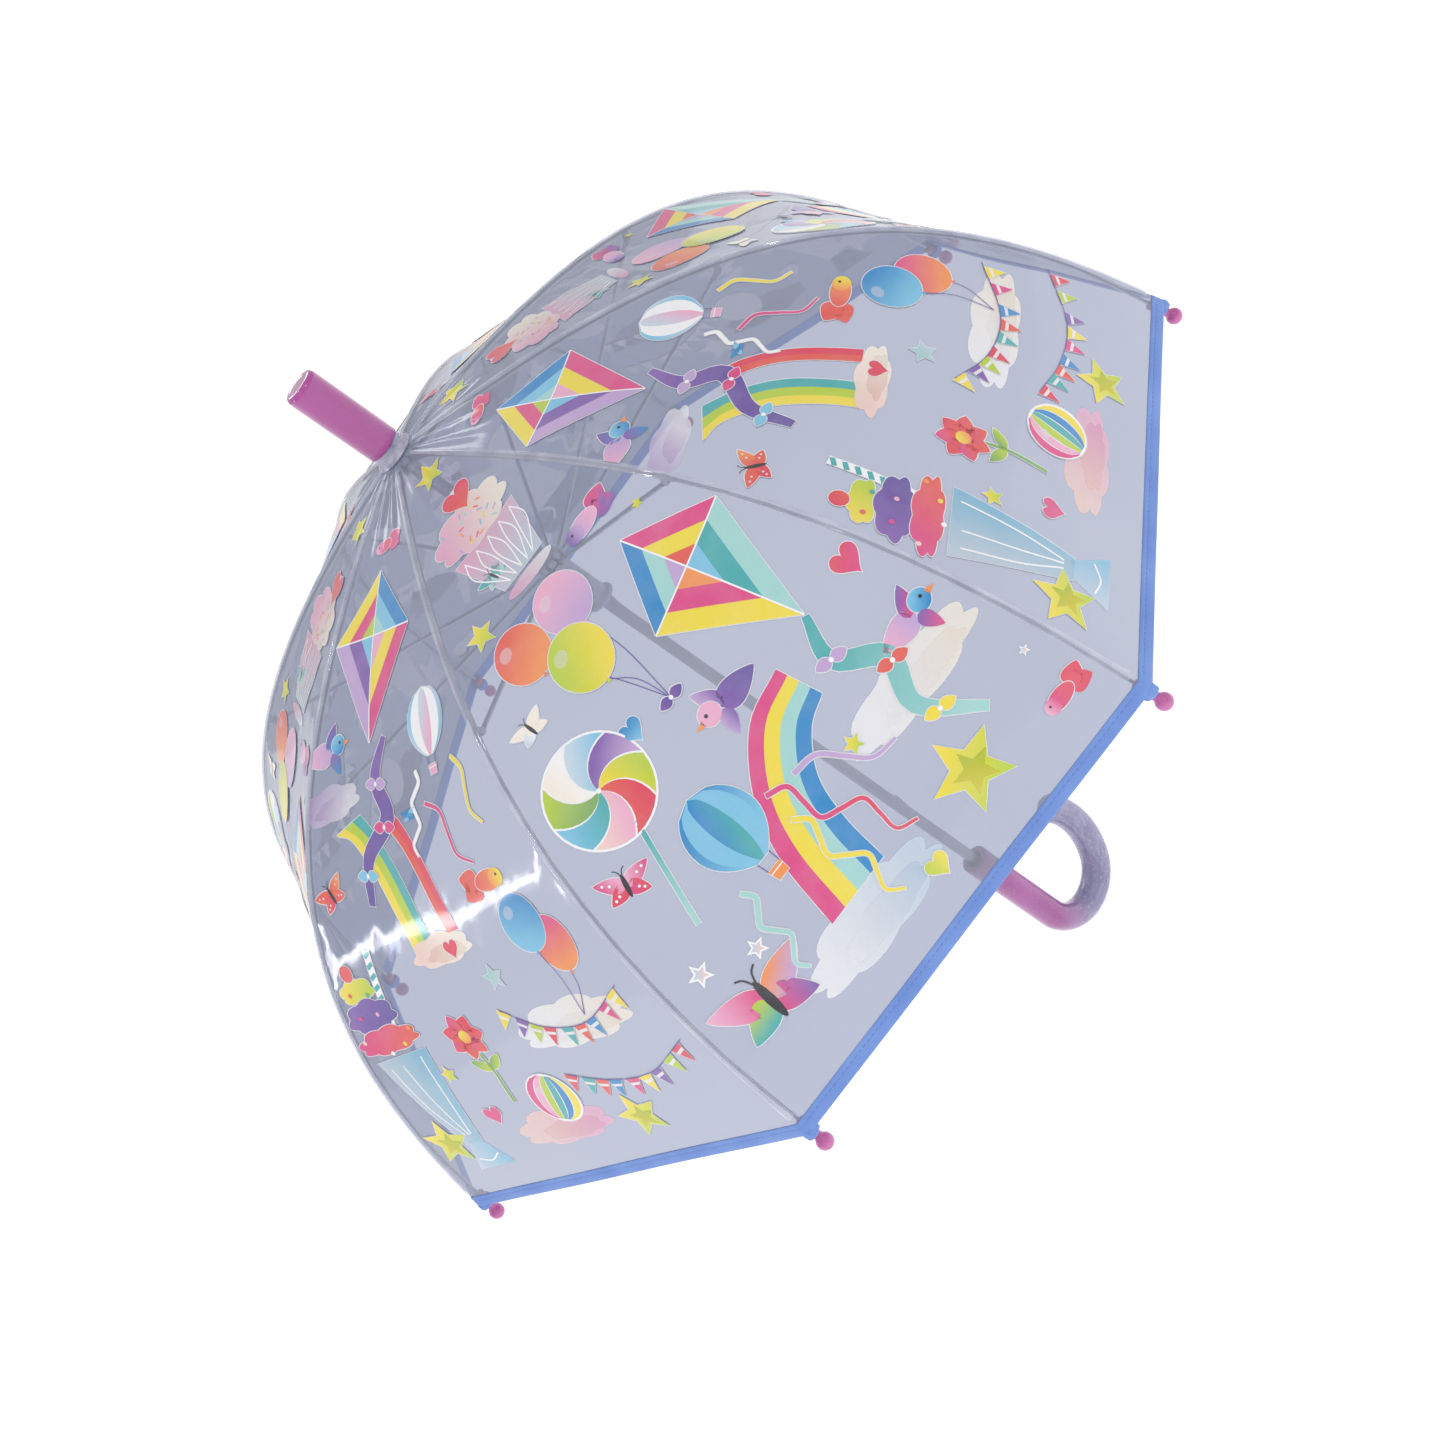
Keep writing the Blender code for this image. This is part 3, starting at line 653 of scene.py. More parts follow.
def channel_row(k, v, taper):
    """Points across the channel over rib k at arc length v."""
    before = gore_before(k)
    width = float(half_width(v)) * 1000
    crest = gore_normal(before, 1.0, v) + gore_normal(k, -1.0, v)
    crest = crest / np.linalg.norm(crest)
    row = []
    for gore, sign in ((before, -1), (k, 1)):
        part = [(a, lift) for a, lift in CHANNEL if a * sign > 0]
        across = np.array([abs(a) for a, _ in part]) * (0.45 + 0.55 * taper)
        lift = np.array([lift for _, lift in part])[:, None] * (0.5 + 0.5 * taper) / 1000
        q = -sign * (1 - np.minimum(across / width, 0.9))
        share = np.minimum(across / 3.0, 1.0)[:, None]
        normal = gore_normal(gore, q, v) * share + crest * (1 - share)
        normal = normal / np.linalg.norm(normal, axis=1, keepdims=True)
        row += list(on_gore(gore, q, v) + normal * lift)
    return row


def make_channel(k, section):
    start, end = SECTIONS[section]
    start = max(start, CHANNEL_START)
    end = min(end, HEM_V - 0.004)
    rows = rows_between(start, end)
    points = []
    for v in rows:
        points += channel_row(k, v, min(1.0, (v - 0.010) / CHANNEL_FULL))
    obj = make_object(f"channel_{section}_{k}", points, grid_faces(len(rows), len(CHANNEL)), [WELD])
    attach(obj, part_of(k, section))
    return obj


# Cross-section of the folded tape, (mm up from the hem's edge, mm off the film), all the way round.
TAPE_SECTION = ((0.0, 0.0), (0.25, 0.42), (1.2, 0.60), (3.4, 0.62), (5.2, 0.58), (5.75, 0.40), (6.3, 0.58),
                (7.9, 0.56), (8.5, 0.40), (8.5, -0.40), (7.9, -0.56), (6.3, -0.58), (5.75, -0.40),
                (5.2, -0.58), (3.4, -0.62), (1.2, -0.60), (0.25, -0.42))


def make_tape(k):
    count = len(TAPE_SECTION)
    rows = [wedge_points(k, GORE_LENGTH - up / 1000, lift / 1000)[0] for up, lift in TAPE_SECTION]
    points = [p for row in rows for p in row]
    columns = len(rows[0])
    faces = []
    for i in range(count):
        below = (i + 1) % count
        for j in range(columns - 1):
            faces.append((i * columns + j, below * columns + j, below * columns + j + 1, i * columns + j + 1))
    faces.append(tuple(i * columns for i in range(count)))
    faces.append(tuple(i * columns + columns - 1 for i in reversed(range(count))))
    tape_faces = len(faces)
    add_stitches(k, points, faces)
    obj = make_object(f"tape_{k}", points, faces, [TAPE, THREAD])
    for face in obj.data.polygons:
        face.material_index = int(face.index >= tape_faces)
    fix_normals(obj)
    sharpen(obj, 50)
    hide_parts(f"hem_tape_{k}")
    carry_soft(obj, k, "lower")
    return obj


STITCH_LINE = 0.00575         # up from the tape's fold
STITCH_FOOT = 0.00055         # off the film, where a stitch leaves the tape
STITCH_PITCH = 0.0034
STITCH_LENGTH = 0.0024
STITCH_RISE = 0.00022
STITCH_WIDTH = 0.00035


def add_stitches(k, points, faces):
    """A row of lockstitches along the tape's fold line, each a small lozenge of thread."""
    v = GORE_LENGTH - STITCH_LINE
    before = gore_before(k)
    width = float(half_width(v))
    count = int((width - 0.006) / STITCH_PITCH)
    half = STITCH_LENGTH / 2
    foot, end = STITCH_FOOT, STITCH_FOOT - 0.0001
    corners = ((-half, 0, end), (0, -STITCH_WIDTH, foot), (0, 0, foot + STITCH_RISE),
               (0, STITCH_WIDTH, foot), (half, 0, end))
    for gore, sign in ((before, 1), (k, -1)):
        middles = 0.003 + STITCH_PITCH * (np.arange(count) + 0.5)
        q = np.concatenate([[sign * (m + c[0]) / width for c in corners] for m in middles])
        spots = on_gore(gore, q, np.tile([v + c[1] for c in corners], count),
                        np.tile([c[2] for c in corners], count))
        for i in range(count):
            a, b, c, d, e = range(len(points) + 5 * i, len(points) + 5 * i + 5)
            faces += [(a, b, c), (a, c, d), (e, c, b), (e, d, c), (a, d, e, b)]
        points += list(spots)


# ---- the print: pictures drawn flat on a gore, in mm from its middle line and from the crown -----
INKS = {"yellow": (246, 224, 64), "lime": (188, 212, 52), "orange": (248, 152, 80),
        "coral": (234, 92, 80),
        "red": (228, 66, 92), "pink": (226, 74, 138), "rose": (242, 178, 208), "peach": (250, 216, 206),
        "cream": (252, 243, 228), "white": (252, 252, 254), "lilac": (198, 168, 216),
        "purple": (132, 94, 176), "violet": (100, 80, 162), "blue": (40, 140, 204), "sky": (128, 200, 232),
        "pale": (204, 222, 236), "teal": (72, 176, 178), "aqua": (166, 218, 214), "black": (38, 34, 46),
        "moss": (128, 176, 96)}
HALO = 0.5                    # mm of white left round a shape
HALO_ALPHA = 0.75


def smooth_path(path, steps=6):
    """Points of a smooth curve through the given points."""
    pts = [np.array(p, float) for p in path]
    pts = [2 * pts[0] - pts[1]] + pts + [2 * pts[-1] - pts[-2]]
    out = []
    for a, b, c, d in zip(pts, pts[1:], pts[2:], pts[3:]):
        for i in range(steps):
            t = i / steps
            out.append(0.5 * (2 * b + (c - a) * t + (2 * a - 5 * b + 4 * c - d) * t * t
                              + (3 * b - 3 * c + d - a) * t ** 3))
    return np.array(out + [pts[-2]])


def ribbon(path, widths):
    """Outline of a strip along a smooth path; widths are spread evenly along it."""
    line = smooth_path(path)
    run = np.gradient(line, axis=0)
    side = np.stack((-run[:, 1], run[:, 0]), axis=1) / np.linalg.norm(run, axis=1, keepdims=True)
    wide = np.interp(np.linspace(0, 1, len(line)), np.linspace(0, 1, len(widths)), widths)[:, None] / 2
    return np.concatenate((line + side * wide, (line - side * wide)[::-1]))


def moved(points, s, v, size=1.0, turn=0.0, stretch=1.0):
    """Unit outline scaled, turned clockwise by turn degrees and put at (s, v)."""
    pts = np.array(points, float) * (size * stretch, size)
    c, w = math.cos(math.radians(turn)), math.sin(math.radians(turn))
    return np.stack((s + pts[:, 0] * c - pts[:, 1] * w, v + pts[:, 0] * w + pts[:, 1] * c), axis=1)


def oval(s, v, width, height, turn=0.0, sides=26):
    t = np.linspace(0, 2 * math.pi, sides, endpoint=False)
    return moved(np.stack((np.cos(t) * width / 2, np.sin(t) * height / 2), axis=1), s, v, 1.0, turn)


def star(s, v, r, turn=0.0, inner=0.45):
    t = math.pi * np.arange(10) / 5 - math.pi / 2
    reach = np.where(np.arange(10) % 2 == 0, 1.0, inner)
    return moved(np.stack((np.cos(t) * reach, np.sin(t) * reach), axis=1), s, v, r, turn)


def heart(s, v, r, turn=0.0):
    t = np.linspace(0, 2 * math.pi, 30, endpoint=False)
    x = np.sin(t) ** 3
    y = -(13 * np.cos(t) - 5 * np.cos(2 * t) - 2 * np.cos(3 * t) - np.cos(4 * t)) / 15
    return moved(np.stack((x, y), axis=1), s, v, r, turn)


def petal(s, v, length, width, turn, fullness=0.62):
    """Leaf or wing: a point at (s, v), widest beyond the middle, lying along turn degrees."""
    t = np.linspace(0, 1, 13)
    half = width / 2 * np.sin(math.pi * t ** fullness) ** 0.8
    top = np.stack((t * length, -half), axis=1)
    return moved(np.concatenate((top, (top * (1, -1))[::-1][1:-1])), s, v, 1.0, turn)


def cloud(s, v, width, height, bumps=7, phase=0.4):
    t = np.linspace(0, 2 * math.pi, 64, endpoint=False)
    reach = 0.84 + 0.16 * np.abs(np.sin(bumps * t / 2 + phase))
    flat = np.where(np.sin(t) > 0, 0.72, 1.0)
    return np.stack((s + np.cos(t) * reach * width / 2, v + np.sin(t) * reach * flat * height / 2), axis=1)


def spread(points, by):
    """An outline grown outward by a small distance."""
    pts = np.array(points, float)
    ahead, behind = np.roll(pts, -1, axis=0), np.roll(pts, 1, axis=0)
    area = np.sum(pts[:, 0] * ahead[:, 1] - ahead[:, 0] * pts[:, 1])
    run = ahead - behind
    size = np.maximum(np.linalg.norm(run, axis=1, keepdims=True), 1e-6)
    return pts + np.stack((run[:, 1], -run[:, 0]), axis=1) / size * by * (1 if area > 0 else -1)


class Print:
    """Flat coloured shapes of one gore; later levels lie over earlier ones."""

    def __init__(self):
        self.shapes = []
        self.level = 1

    def add(self, points, ink, alpha=1.0, halo=False, rise=0):
        level = self.level + rise
        if halo:
            self.shapes.append((spread(points, HALO), "white", min(alpha, HALO_ALPHA), level - 0.5, True))
        self.shapes.append((np.array(points, float), ink, alpha, level, False))

    def lines(self, paths, ink, width=0.6, rise=1):
        for path in paths:
            self.add(ribbon(path, (width, width)), ink, rise=rise)

    def bands(self, first, last, inks):
        """Side-by-side bands between two smooth curves."""
        a, b = smooth_path(first), smooth_path(last)
        self.shapes.append((spread(np.concatenate((a, b[::-1])), HALO), "white", HALO_ALPHA,
                            self.level - 0.5, True))
        for i, ink in enumerate(inks):
            near = a + (b - a) * i / len(inks)
            far = a + (b - a) * (i + 1) / len(inks)
            self.add(np.concatenate((near, far[::-1])), ink)


def draw_star(p, s, v, r, turn=0.0, ink=("yellow", "lime", 60)):
    p.add(star(s, v, r, turn), ink, halo=r > 5)
    if r > 12:
        p.add(star(s + r * 0.05, v + r * 0.08, r * 0.55, turn + 8), ("lime", "yellow", 120), 0.6, rise=1)


def draw_balloon(p, s, v, width, height, ink, knot_to):
    p.lines([[(s, v + height / 2), ((s + knot_to[0]) / 2 + 3, (v + knot_to[1]) / 2 + 6), knot_to]],
            "violet", 0.5, rise=0)
    p.add(oval(s, v, width, height), ink, halo=True)
    p.add(oval(s - width * 0.2, v - height * 0.22, width * 0.28, height * 0.2, -35), "white", 0.35, rise=1)
    p.add([(s, v + height / 2 - 0.5), (s - 1.4, v + height / 2 + 1.8), (s + 1.4, v + height / 2 + 1.8)],
          ink, rise=1)


def draw_butterfly(p, s, v, span, wings, turn=0.0, spots=None, body="black"):
    """Four wings (left upper, right upper, left lower, right lower) on a slim body."""
    for ink, angle, length in zip(wings, (205, -25, 150, 30), (0.56, 0.56, 0.42, 0.42)):
        p.add(petal(s, v, span * length, span * 0.27, angle + turn), ink, halo=span > 14)
        if spots:
            direction = math.radians(angle + turn)
            for reach in (0.5, 0.72):
                p.add(oval(s + math.cos(direction) * span * length * reach,
                           v + math.sin(direction) * span * length * reach, span * 0.05, span * 0.05),
                      spots, rise=1)
    p.add(moved(oval(0, 0, 0.09, 0.42, 0, 14), s, v, span, turn), body, rise=1)
    for side in (-1, 1):
        feeler = moved([(side * 0.01, -0.18), (side * 0.05, -0.27), (side * 0.11, -0.31)], s, v, span, turn)
        p.lines([feeler], body, max(0.35, span * 0.018), rise=1)


def draw_bird(p, s, v, size, facing=1, body=("purple", "pink", 30), head="blue", wing="lilac"):
    f = facing
    p.add(moved(petal(0, 0, 0.9, 0.5, 0) * (-f, 1), s - 0.1 * size * f, v, size), body, halo=True)
    p.add(moved(petal(0, 0, 0.62, 0.34, 0) * (f, 1), s - f * 0.2 * size, v, size, -62 * f), wing, halo=True)
    p.add(moved(petal(0, 0, 0.5, 0.3, 0) * (f, 1), s - f * 0.1 * size, v + 0.05 * size, size, 70 * f), wing,
          rise=1)
    p.add(oval(s + f * 0.12 * size, v - 0.08 * size, 0.44 * size, 0.40 * size), head, halo=True, rise=1)
    p.add(moved([(0.30 * f, -0.13), (0.50 * f, -0.06), (0.30 * f, 0.01)], s, v, size), "orange", rise=1)
    p.add(oval(s + f * 0.18 * size, v - 0.11 * size, 0.07 * size, 0.07 * size), "black", rise=2)


def draw_fish(p, s, v, length, facing, body, head, fin):
    f = facing
    for turn in (24, -24):
        p.add(moved(petal(0, 0, 0.45, 0.42, 0) * (-f, 1), s - f * 0.22 * length, v, length, turn * f), fin,
              halo=turn > 0)
    p.add(oval(s + f * 0.05 * length, v, 0.66 * length, 0.34 * length), body, halo=True, rise=1)
    p.add(oval(s + f * 0.24 * length, v, 0.34 * length, 0.31 * length), head, rise=2)
    p.add(oval(s + f * 0.28 * length, v - 0.04 * length, 0.05 * length, 0.05 * length), "black", rise=3)


def draw_cloud(p, s, v, width, height, ink=("white", "peach", 20), alpha=0.72, bumps=7):
    p.add(cloud(s, v, width, height, bumps), ink, alpha)
    p.add(cloud(s + width * 0.06, v + height * 0.08, width * 0.66, height * 0.55, bumps - 2), ink,
          alpha * 0.6, rise=1)


def draw_lollipop(p, s, v, r, foot, inks):
    p.add(ribbon([(s, v + r * 0.8), foot], (2.6, 2.6)), ("teal", "aqua", 90), halo=True)
    p.add(oval(s, v, 2 * r, 2 * r, 0, 48), "white")
    count = len(inks)
    for i, ink in enumerate(inks):
        edge = []
        for end in (0.0, 0.93):
            curve = []
            for t in np.linspace(0.05, 1, 9):
                angle = 2 * math.pi * (i + end) / count + 1.0 * t
                curve.append((s + math.cos(angle) * r * 0.96 * t, v + math.sin(angle) * r * 0.96 * t))
            edge.append(curve)
        first = 2 * math.pi * i / count + 1.0
        rim = [(s + math.cos(first + 2 * math.pi * 0.93 / count * t) * r * 0.96,
                v + math.sin(first + 2 * math.pi * 0.93 / count * t) * r * 0.96) for t in (0.25, 0.5, 0.75)]
        p.add(edge[0] + rim + edge[1][::-1], ink, rise=1)


def wave(start, end, count, reach):
    """Path of a waving party streamer from start to end."""
    start, end = np.array(start, float), np.array(end, float)
    t = np.linspace(0, 1, 4 * count + 1)
    across = np.array((end[1] - start[1], start[0] - end[0])) / np.linalg.norm(end - start)
    return start + np.outer(t, end - start) + np.outer(reach * np.sin(2 * math.pi * count * t), across)


def draw_streamers(p, runs, width=2.6):
    for start, end, count, reach, ink in runs:
        p.add(ribbon(wave(start, end, count, reach), (width, width * 0.9, width * 0.6)), ink, halo=True)


def draw_air_balloon(p, s, v, width, inks, basket):
    """Plain hot-air balloon: coloured gores, a skirt, four ropes and a woven basket."""
    tall = width * 0.56
    t = np.linspace(-1, 1, 15)
    reach = np.sqrt(np.maximum(1 - t * t, 0)) * np.where(t > 0, 1 - 0.22 * t * t, 1.0)
    reach[-1] = 0.20
    edges = np.linspace(-1, 1, len(inks) + 1)
    whole = [(s - r * width / 2, v + y * tall) for r, y in zip(reach, t)]
    whole += [(s + r * width / 2, v + y * tall) for r, y in zip(reach[::-1], t[::-1])]
    p.add(whole, "white", halo=True)
    for left, right, ink in zip(edges, edges[1:], inks):
        gore = [(s + math.sin(left * math.pi / 2) * r * width / 2, v + y * tall) for r, y in zip(reach, t)]
        gore += [(s + math.sin(right * math.pi / 2) * r * width / 2, v + y * tall)
                 for r, y in zip(reach[::-1], t[::-1])]
        p.add(gore, ink, rise=1)
    low = v + tall
    drop = width * 0.16
    half = width * 0.11
    p.lines([[(s + x * half, low), (s + x * half * 0.9, low + drop)] for x in (-1, 1)], "violet", 0.5)
    p.add([(s - half, low + drop), (s + half, low + drop), (s + half * 0.8, low + 2 * drop),
           (s - half * 0.8, low + 2 * drop)], basket, halo=True, rise=1)
    p.lines([[(s - half, low + drop * 1.3), (s + half, low + drop * 1.3)]], "white", 0.6, rise=2)


def draw_bow(p, s, v, size, ink, turn=0.0):
    for side in (0, 180):
        p.add(petal(s, v, size, size * 0.7, turn + side, 0.8), ink, halo=True, rise=3)
    p.add(oval(s, v, size * 0.28, size * 0.28), "white", rise=4)


def draw_kite(p, s, v, size, sails, tail, tail_ink, bows, turn=0.0):
    """Plain toy kite: striped sails on a cross, and a waving tail with bows."""
    p.add(ribbon(tail, (4, 9, 11, 9, 5)), tail_ink, halo=True)
    line = smooth_path(tail, 8)
    for share, ink in bows:
        spot = line[int(share * (len(line) - 1))]
        draw_bow(p, spot[0], spot[1], size * 0.11, ink, 15)
    hub = np.array((0, -0.14))
    tips = np.array([(0, -0.62), (0.44, -0.14), (0, 0.62), (-0.44, -0.14)])
    for i, inks in enumerate(sails):
        near, far = tips[i], tips[(i + 1) % 4]
        for n, ink in enumerate(inks):
            a, b = 1 - n / len(inks), 1 - (n + 1) / len(inks)
            outer = [hub + (near - hub) * a, hub + (far - hub) * a]
            inner = [hub + (far - hub) * b, hub + (near - hub) * b]
            stripe = outer + (inner if b > 0 else inner[:1])
            p.add(moved(stripe, s, v, size, turn), ink, halo=n == 0, rise=1)
    spars = [[tips[0], (0, 0), tips[2]], [tips[3], hub, tips[1]]]
    p.lines([moved(spar, s, v, size, turn) for spar in spars], "white", 0.9, rise=2)


def draw_flower(p, s, v, r, foot, inks):
    """Round flower on a leafy stem."""
    petals = 7
    middle = ((s + foot[0]) / 2 + 3, (v + foot[1]) / 2)
    p.add(ribbon([(s, v), middle, foot], (2.2, 1.9, 2.4)), "moss", halo=True)
    for turn in (-35, 215):
        p.add(petal(middle[0], middle[1], r * 0.95, r * 0.42, turn, 0.8), ("moss", "lime", 40), halo=True)
    for i in range(petals):
        p.add(petal(s, v, r, r * 0.72, 360 * i / petals, 0.8), inks[i % len(inks)], halo=True, rise=1)
    p.add(oval(s, v, r * 0.56, r * 0.56), ("yellow", "orange", 60), rise=2)


def draw_bunting(p, path, inks, count):
    """A string of small pennants, each with a pale stripe."""
    size = 9.0
    line = smooth_path(path, 10)
    p.lines([path], "violet", 0.6)
    for i in range(count):
        at = int((i + 0.5) / count * (len(line) - 1))
        run = line[min(at + 2, len(line) - 1)] - line[max(at - 2, 0)]
        turn = math.degrees(math.atan2(run[1], run[0]))
        flag = [(-0.5, 0), (0.5, 0), (0, 1.35)]
        stripe = [(-0.36, 0.3), (0.36, 0.3), (0.28, 0.5), (-0.28, 0.5)]
        p.add(moved(flag, *line[at], size, turn), inks[i % len(inks)], halo=True, rise=1)
        p.add(moved(stripe, *line[at], size, turn), "white", 0.85, rise=2)


def draw_cupcake(p, s, v):
    p.add([(s - 24, v), (s + 24, v), (s + 15, v + 38), (s - 15, v + 38)], ("rose", "pale", 70), 0.75,
          halo=True)
    for i in range(-2, 3):
        tip = (s + i * 9.4, v + 3)
        p.lines([[(s + i * 4.5, v + 37), (s + i * 9 - 3.4, v + 17), tip],
                 [tip, (s + i * 9 + 3.4, v + 17), (s + i * 4.5, v + 37)]], "white", 0.8)
    p.add(oval(s, v + 44, 34, 8), ("rose", "white", 0), 0.7)
    p.add(cloud(s, v - 13, 56, 40, 8), ("rose", "cream", 15), 0.85, halo=True, rise=1)
    dashes = ("orange", "lilac", "sky", "yellow", "coral", "aqua")
    for i in range(20):
        x, y = s + 20 * math.sin(i * 2.4) * (0.35 + 0.6 * ((i * 7) % 5) / 5), v - 14 + 11 * math.cos(i * 1.7)
        p.lines([moved([(-1.8, 0), (1.8, 0)], x, y, 1.0, 37 * i)], dashes[i % 6], 0.9, rise=2)
    p.add(heart(s + 5, v - 36, 10.5), ("red", "coral", 90), halo=True, rise=3)


def draw_sundae(p):
    """Tall glass with scoops, a striped straw, sweets and a cherry."""
    p.add([(-106, 336), (-62, 336), (-72, 380), (-78, 402), (-92, 402), (-97, 380)], ("pale", "sky", 0), 0.7,
          halo=True)
    p.add([(-80, 400), (-90, 400), (-101, 422), (-69, 422)], ("pale", "sky", 0), 0.75)
    p.lines([[(-99, 342), (-95, 372), (-87, 396)], [(-88, 342), (-87, 370), (-84, 396)],
             [(-70, 340), (-76, 372), (-82, 396)], [(-94, 414), (-85, 417), (-76, 413)]], "white", 1.0)
    p.add(ribbon([(-63, 274), (-76, 324)], (5, 5)), "white", halo=True)
    for i in range(8):
        x, y = -63 - 13 * (i + 0.5) / 8, 274 + 50 * (i + 0.5) / 8
        stripe = [(x - 2.6, y - 1.2), (x + 2.4, y - 2.8), (x + 2.6, y - 0.2), (x - 2.4, y + 1.6)]
        p.add(stripe, "teal", rise=1)
    p.add(cloud(-86, 294, 30, 18, 6), ("yellow", "lime", 30), halo=True, rise=1)
    p.add(cloud(-86, 310, 44, 24, 7), ("purple", "violet", 30), halo=True, rise=2)
    p.add(cloud(-85, 326, 54, 20, 8), ("pink", "coral", 40), halo=True, rise=3)
    p.add(oval(-87, 282, 10, 10), ("red", "coral", 60), halo=True, rise=2)
    for x, y, ink in ((-95, 308, "pink"), (-80, 309, "rose"), (-64, 322, "orange"), (-88, 333, "white"),
                      (-74, 330, "yellow"), (-104, 322, "peach"), (-93, 294, "coral"), (-79, 297, "teal")):
        p.add(oval(x, y, 2.8, 2.8), ink, rise=4)


def draw_ball(p, s, v, r, inks, turn=20):
    p.add(oval(s, v, 2 * r, 2 * r, 0, 40), "white", halo=True)
    for i, ink in enumerate(inks):
        a, b = -1 + 2 * i / len(inks), -1 + 2 * (i + 0.86) / len(inks)
        t = np.linspace(-0.95, 0.95, 12)
        lens = np.sqrt(1 - t * t)
        shape = [(a * w, y) for w, y in zip(lens, t)] + [(b * w, y) for w, y in zip(lens[::-1], t[::-1])]
        p.add(moved(shape, s, v, r * 0.97, turn), ink, rise=1)
    p.add(oval(s - r * 0.3, v - r * 0.4, r * 0.4, r * 0.3, -30), "white", 0.4, rise=2)


def design_a():
    p = Print()
    draw_cloud(p, 70, 355, 92, 32, ("white", "cream", 30), 0.75)
    draw_cloud(p, -30, 410, 96, 38, ("white", "pale", 20), 0.75, 8)
    p.level = 3
    p.bands([(36, 300), (8, 306), (-18, 328), (-34, 356), (-44, 394)],
            [(40, 324), (24, 330), (8, 346), (0, 368), (-4, 394)], ("pink", "yellow", "aqua", "blue"))
    p.level = 5
    draw_kite(p, 52, 246, 82, (("pink", "yellow", "coral"), ("aqua", "teal", "sky"),
                               ("yellow", "pink", "orange"), ("blue", "aqua", "lilac")),
              [(64, 296), (55, 318), (72, 338), (62, 362), (82, 390)], ("teal", "aqua", 60),
              ((0.28, "lilac"), (0.55, "coral"), (0.85, "yellow")), -14)
    draw_cupcake(p, 0, 118)
    draw_star(p, 4, 47, 11, 4)
    draw_butterfly(p, -13, 143, 20, ("teal", ("teal", "aqua", 0), "aqua", "aqua"), -14)
    draw_star(p, -40, 162, 9, 6)
    draw_fish(p, 36, 172, 32, -1, ("lilac", "rose", 0), ("purple", "lilac", 0), ("pink", "purple", 90))
    draw_star(p, 59, 192, 3.5)
    draw_balloon(p, -33, 190, 31, 34, ("coral", "orange", 60), (-4, 268))
    p.level = 8
    draw_balloon(p, -1, 190, 32, 35, ("rose", "lilac", 80), (-4, 268))
    p.level = 10
    draw_balloon(p, -16, 218, 34, 37, ("lime", "yellow", 30), (-4, 268))
    draw_bow(p, -4, 268, 8, ("purple", "violet", 0))
    p.level = 5
    draw_butterfly(p, -58, 220, 22, ("cream", "cream", ("pale", "white", 0), "cream"), -4)
    p.add(heart(-28, 262, 6.5), ("blue", "sky", 90), halo=True)
    draw_bird(p, 4, 290, 28, -1, ("purple", "violet", 0), "rose", ("lilac", "purple", 0))
    draw_lollipop(p, -60, 267, 29, (-81, 343),
                  (("coral", "red", 30), ("peach", "rose", 30), ("sky", "teal", 20), ("lime", "moss", 60),
                   ("cream", "white", 0), ("pale", "sky", 40), ("purple", "lilac", 60),
                   ("yellow", "lime", 0)))
    draw_butterfly(p, -87, 305, 29, (("pink", "rose", 0), ("rose", "pink", 40), "red", ("pink", "red", 0)),
                   24, "white")
    p.level = 7
    draw_air_balloon(p, -38, 326, 40, (("blue", "sky", 60), "sky", ("blue", "teal", 20), "sky",
                                       ("blue", "sky", 60)), "orange")
    draw_streamers(p, (((-14, 332), (20, 396), 2, 6, ("pink", "red", 0)),
                       ((-58, 350), (-66, 398), 2, 4, "aqua"),
                       ((-16, 348), (-10, 412), 2, 5, "yellow"), ((2, 336), (44, 364), 1, 5, "lilac")))
    p.level = 5
    p.add(heart(96, 296, 8.0), ("red", "pink", 60), halo=True)
    draw_bird(p, 98, 336, 27, 1, ("rose", "lilac", 0), ("sky", "blue", 60), ("purple", "pink", 60))
    p.level = 6
    draw_star(p, 30, 350, 5.5)
    for s, v, r in ((-74, 372, 6), (-100, 358, 7), (112, 387, 3)):
        p.add(star(s, v, r), "white")
        p.add(star(s, v, r * 0.62), ("pale", "peach", 40), 0.9, rise=1)
    draw_star(p, 53, 402, 22, -4)
    p.add(heart(8, 418, 6.5), ("lime", "yellow", 0), halo=True)
    draw_fish(p, 106, 415, 27, -1, ("pink", "red", 0), ("rose", "pink", 0), "red")
    draw_butterfly(p, -90, 392, 58, (("rose", "pink", 20), ("orange", "lilac", 60), ("lime", "teal", 90),
                                     ("pink", "purple", 20)), 8)
    return p


PENNANTS = ("yellow", "purple", "lime", "red", "teal", "coral", "blue", "pink")


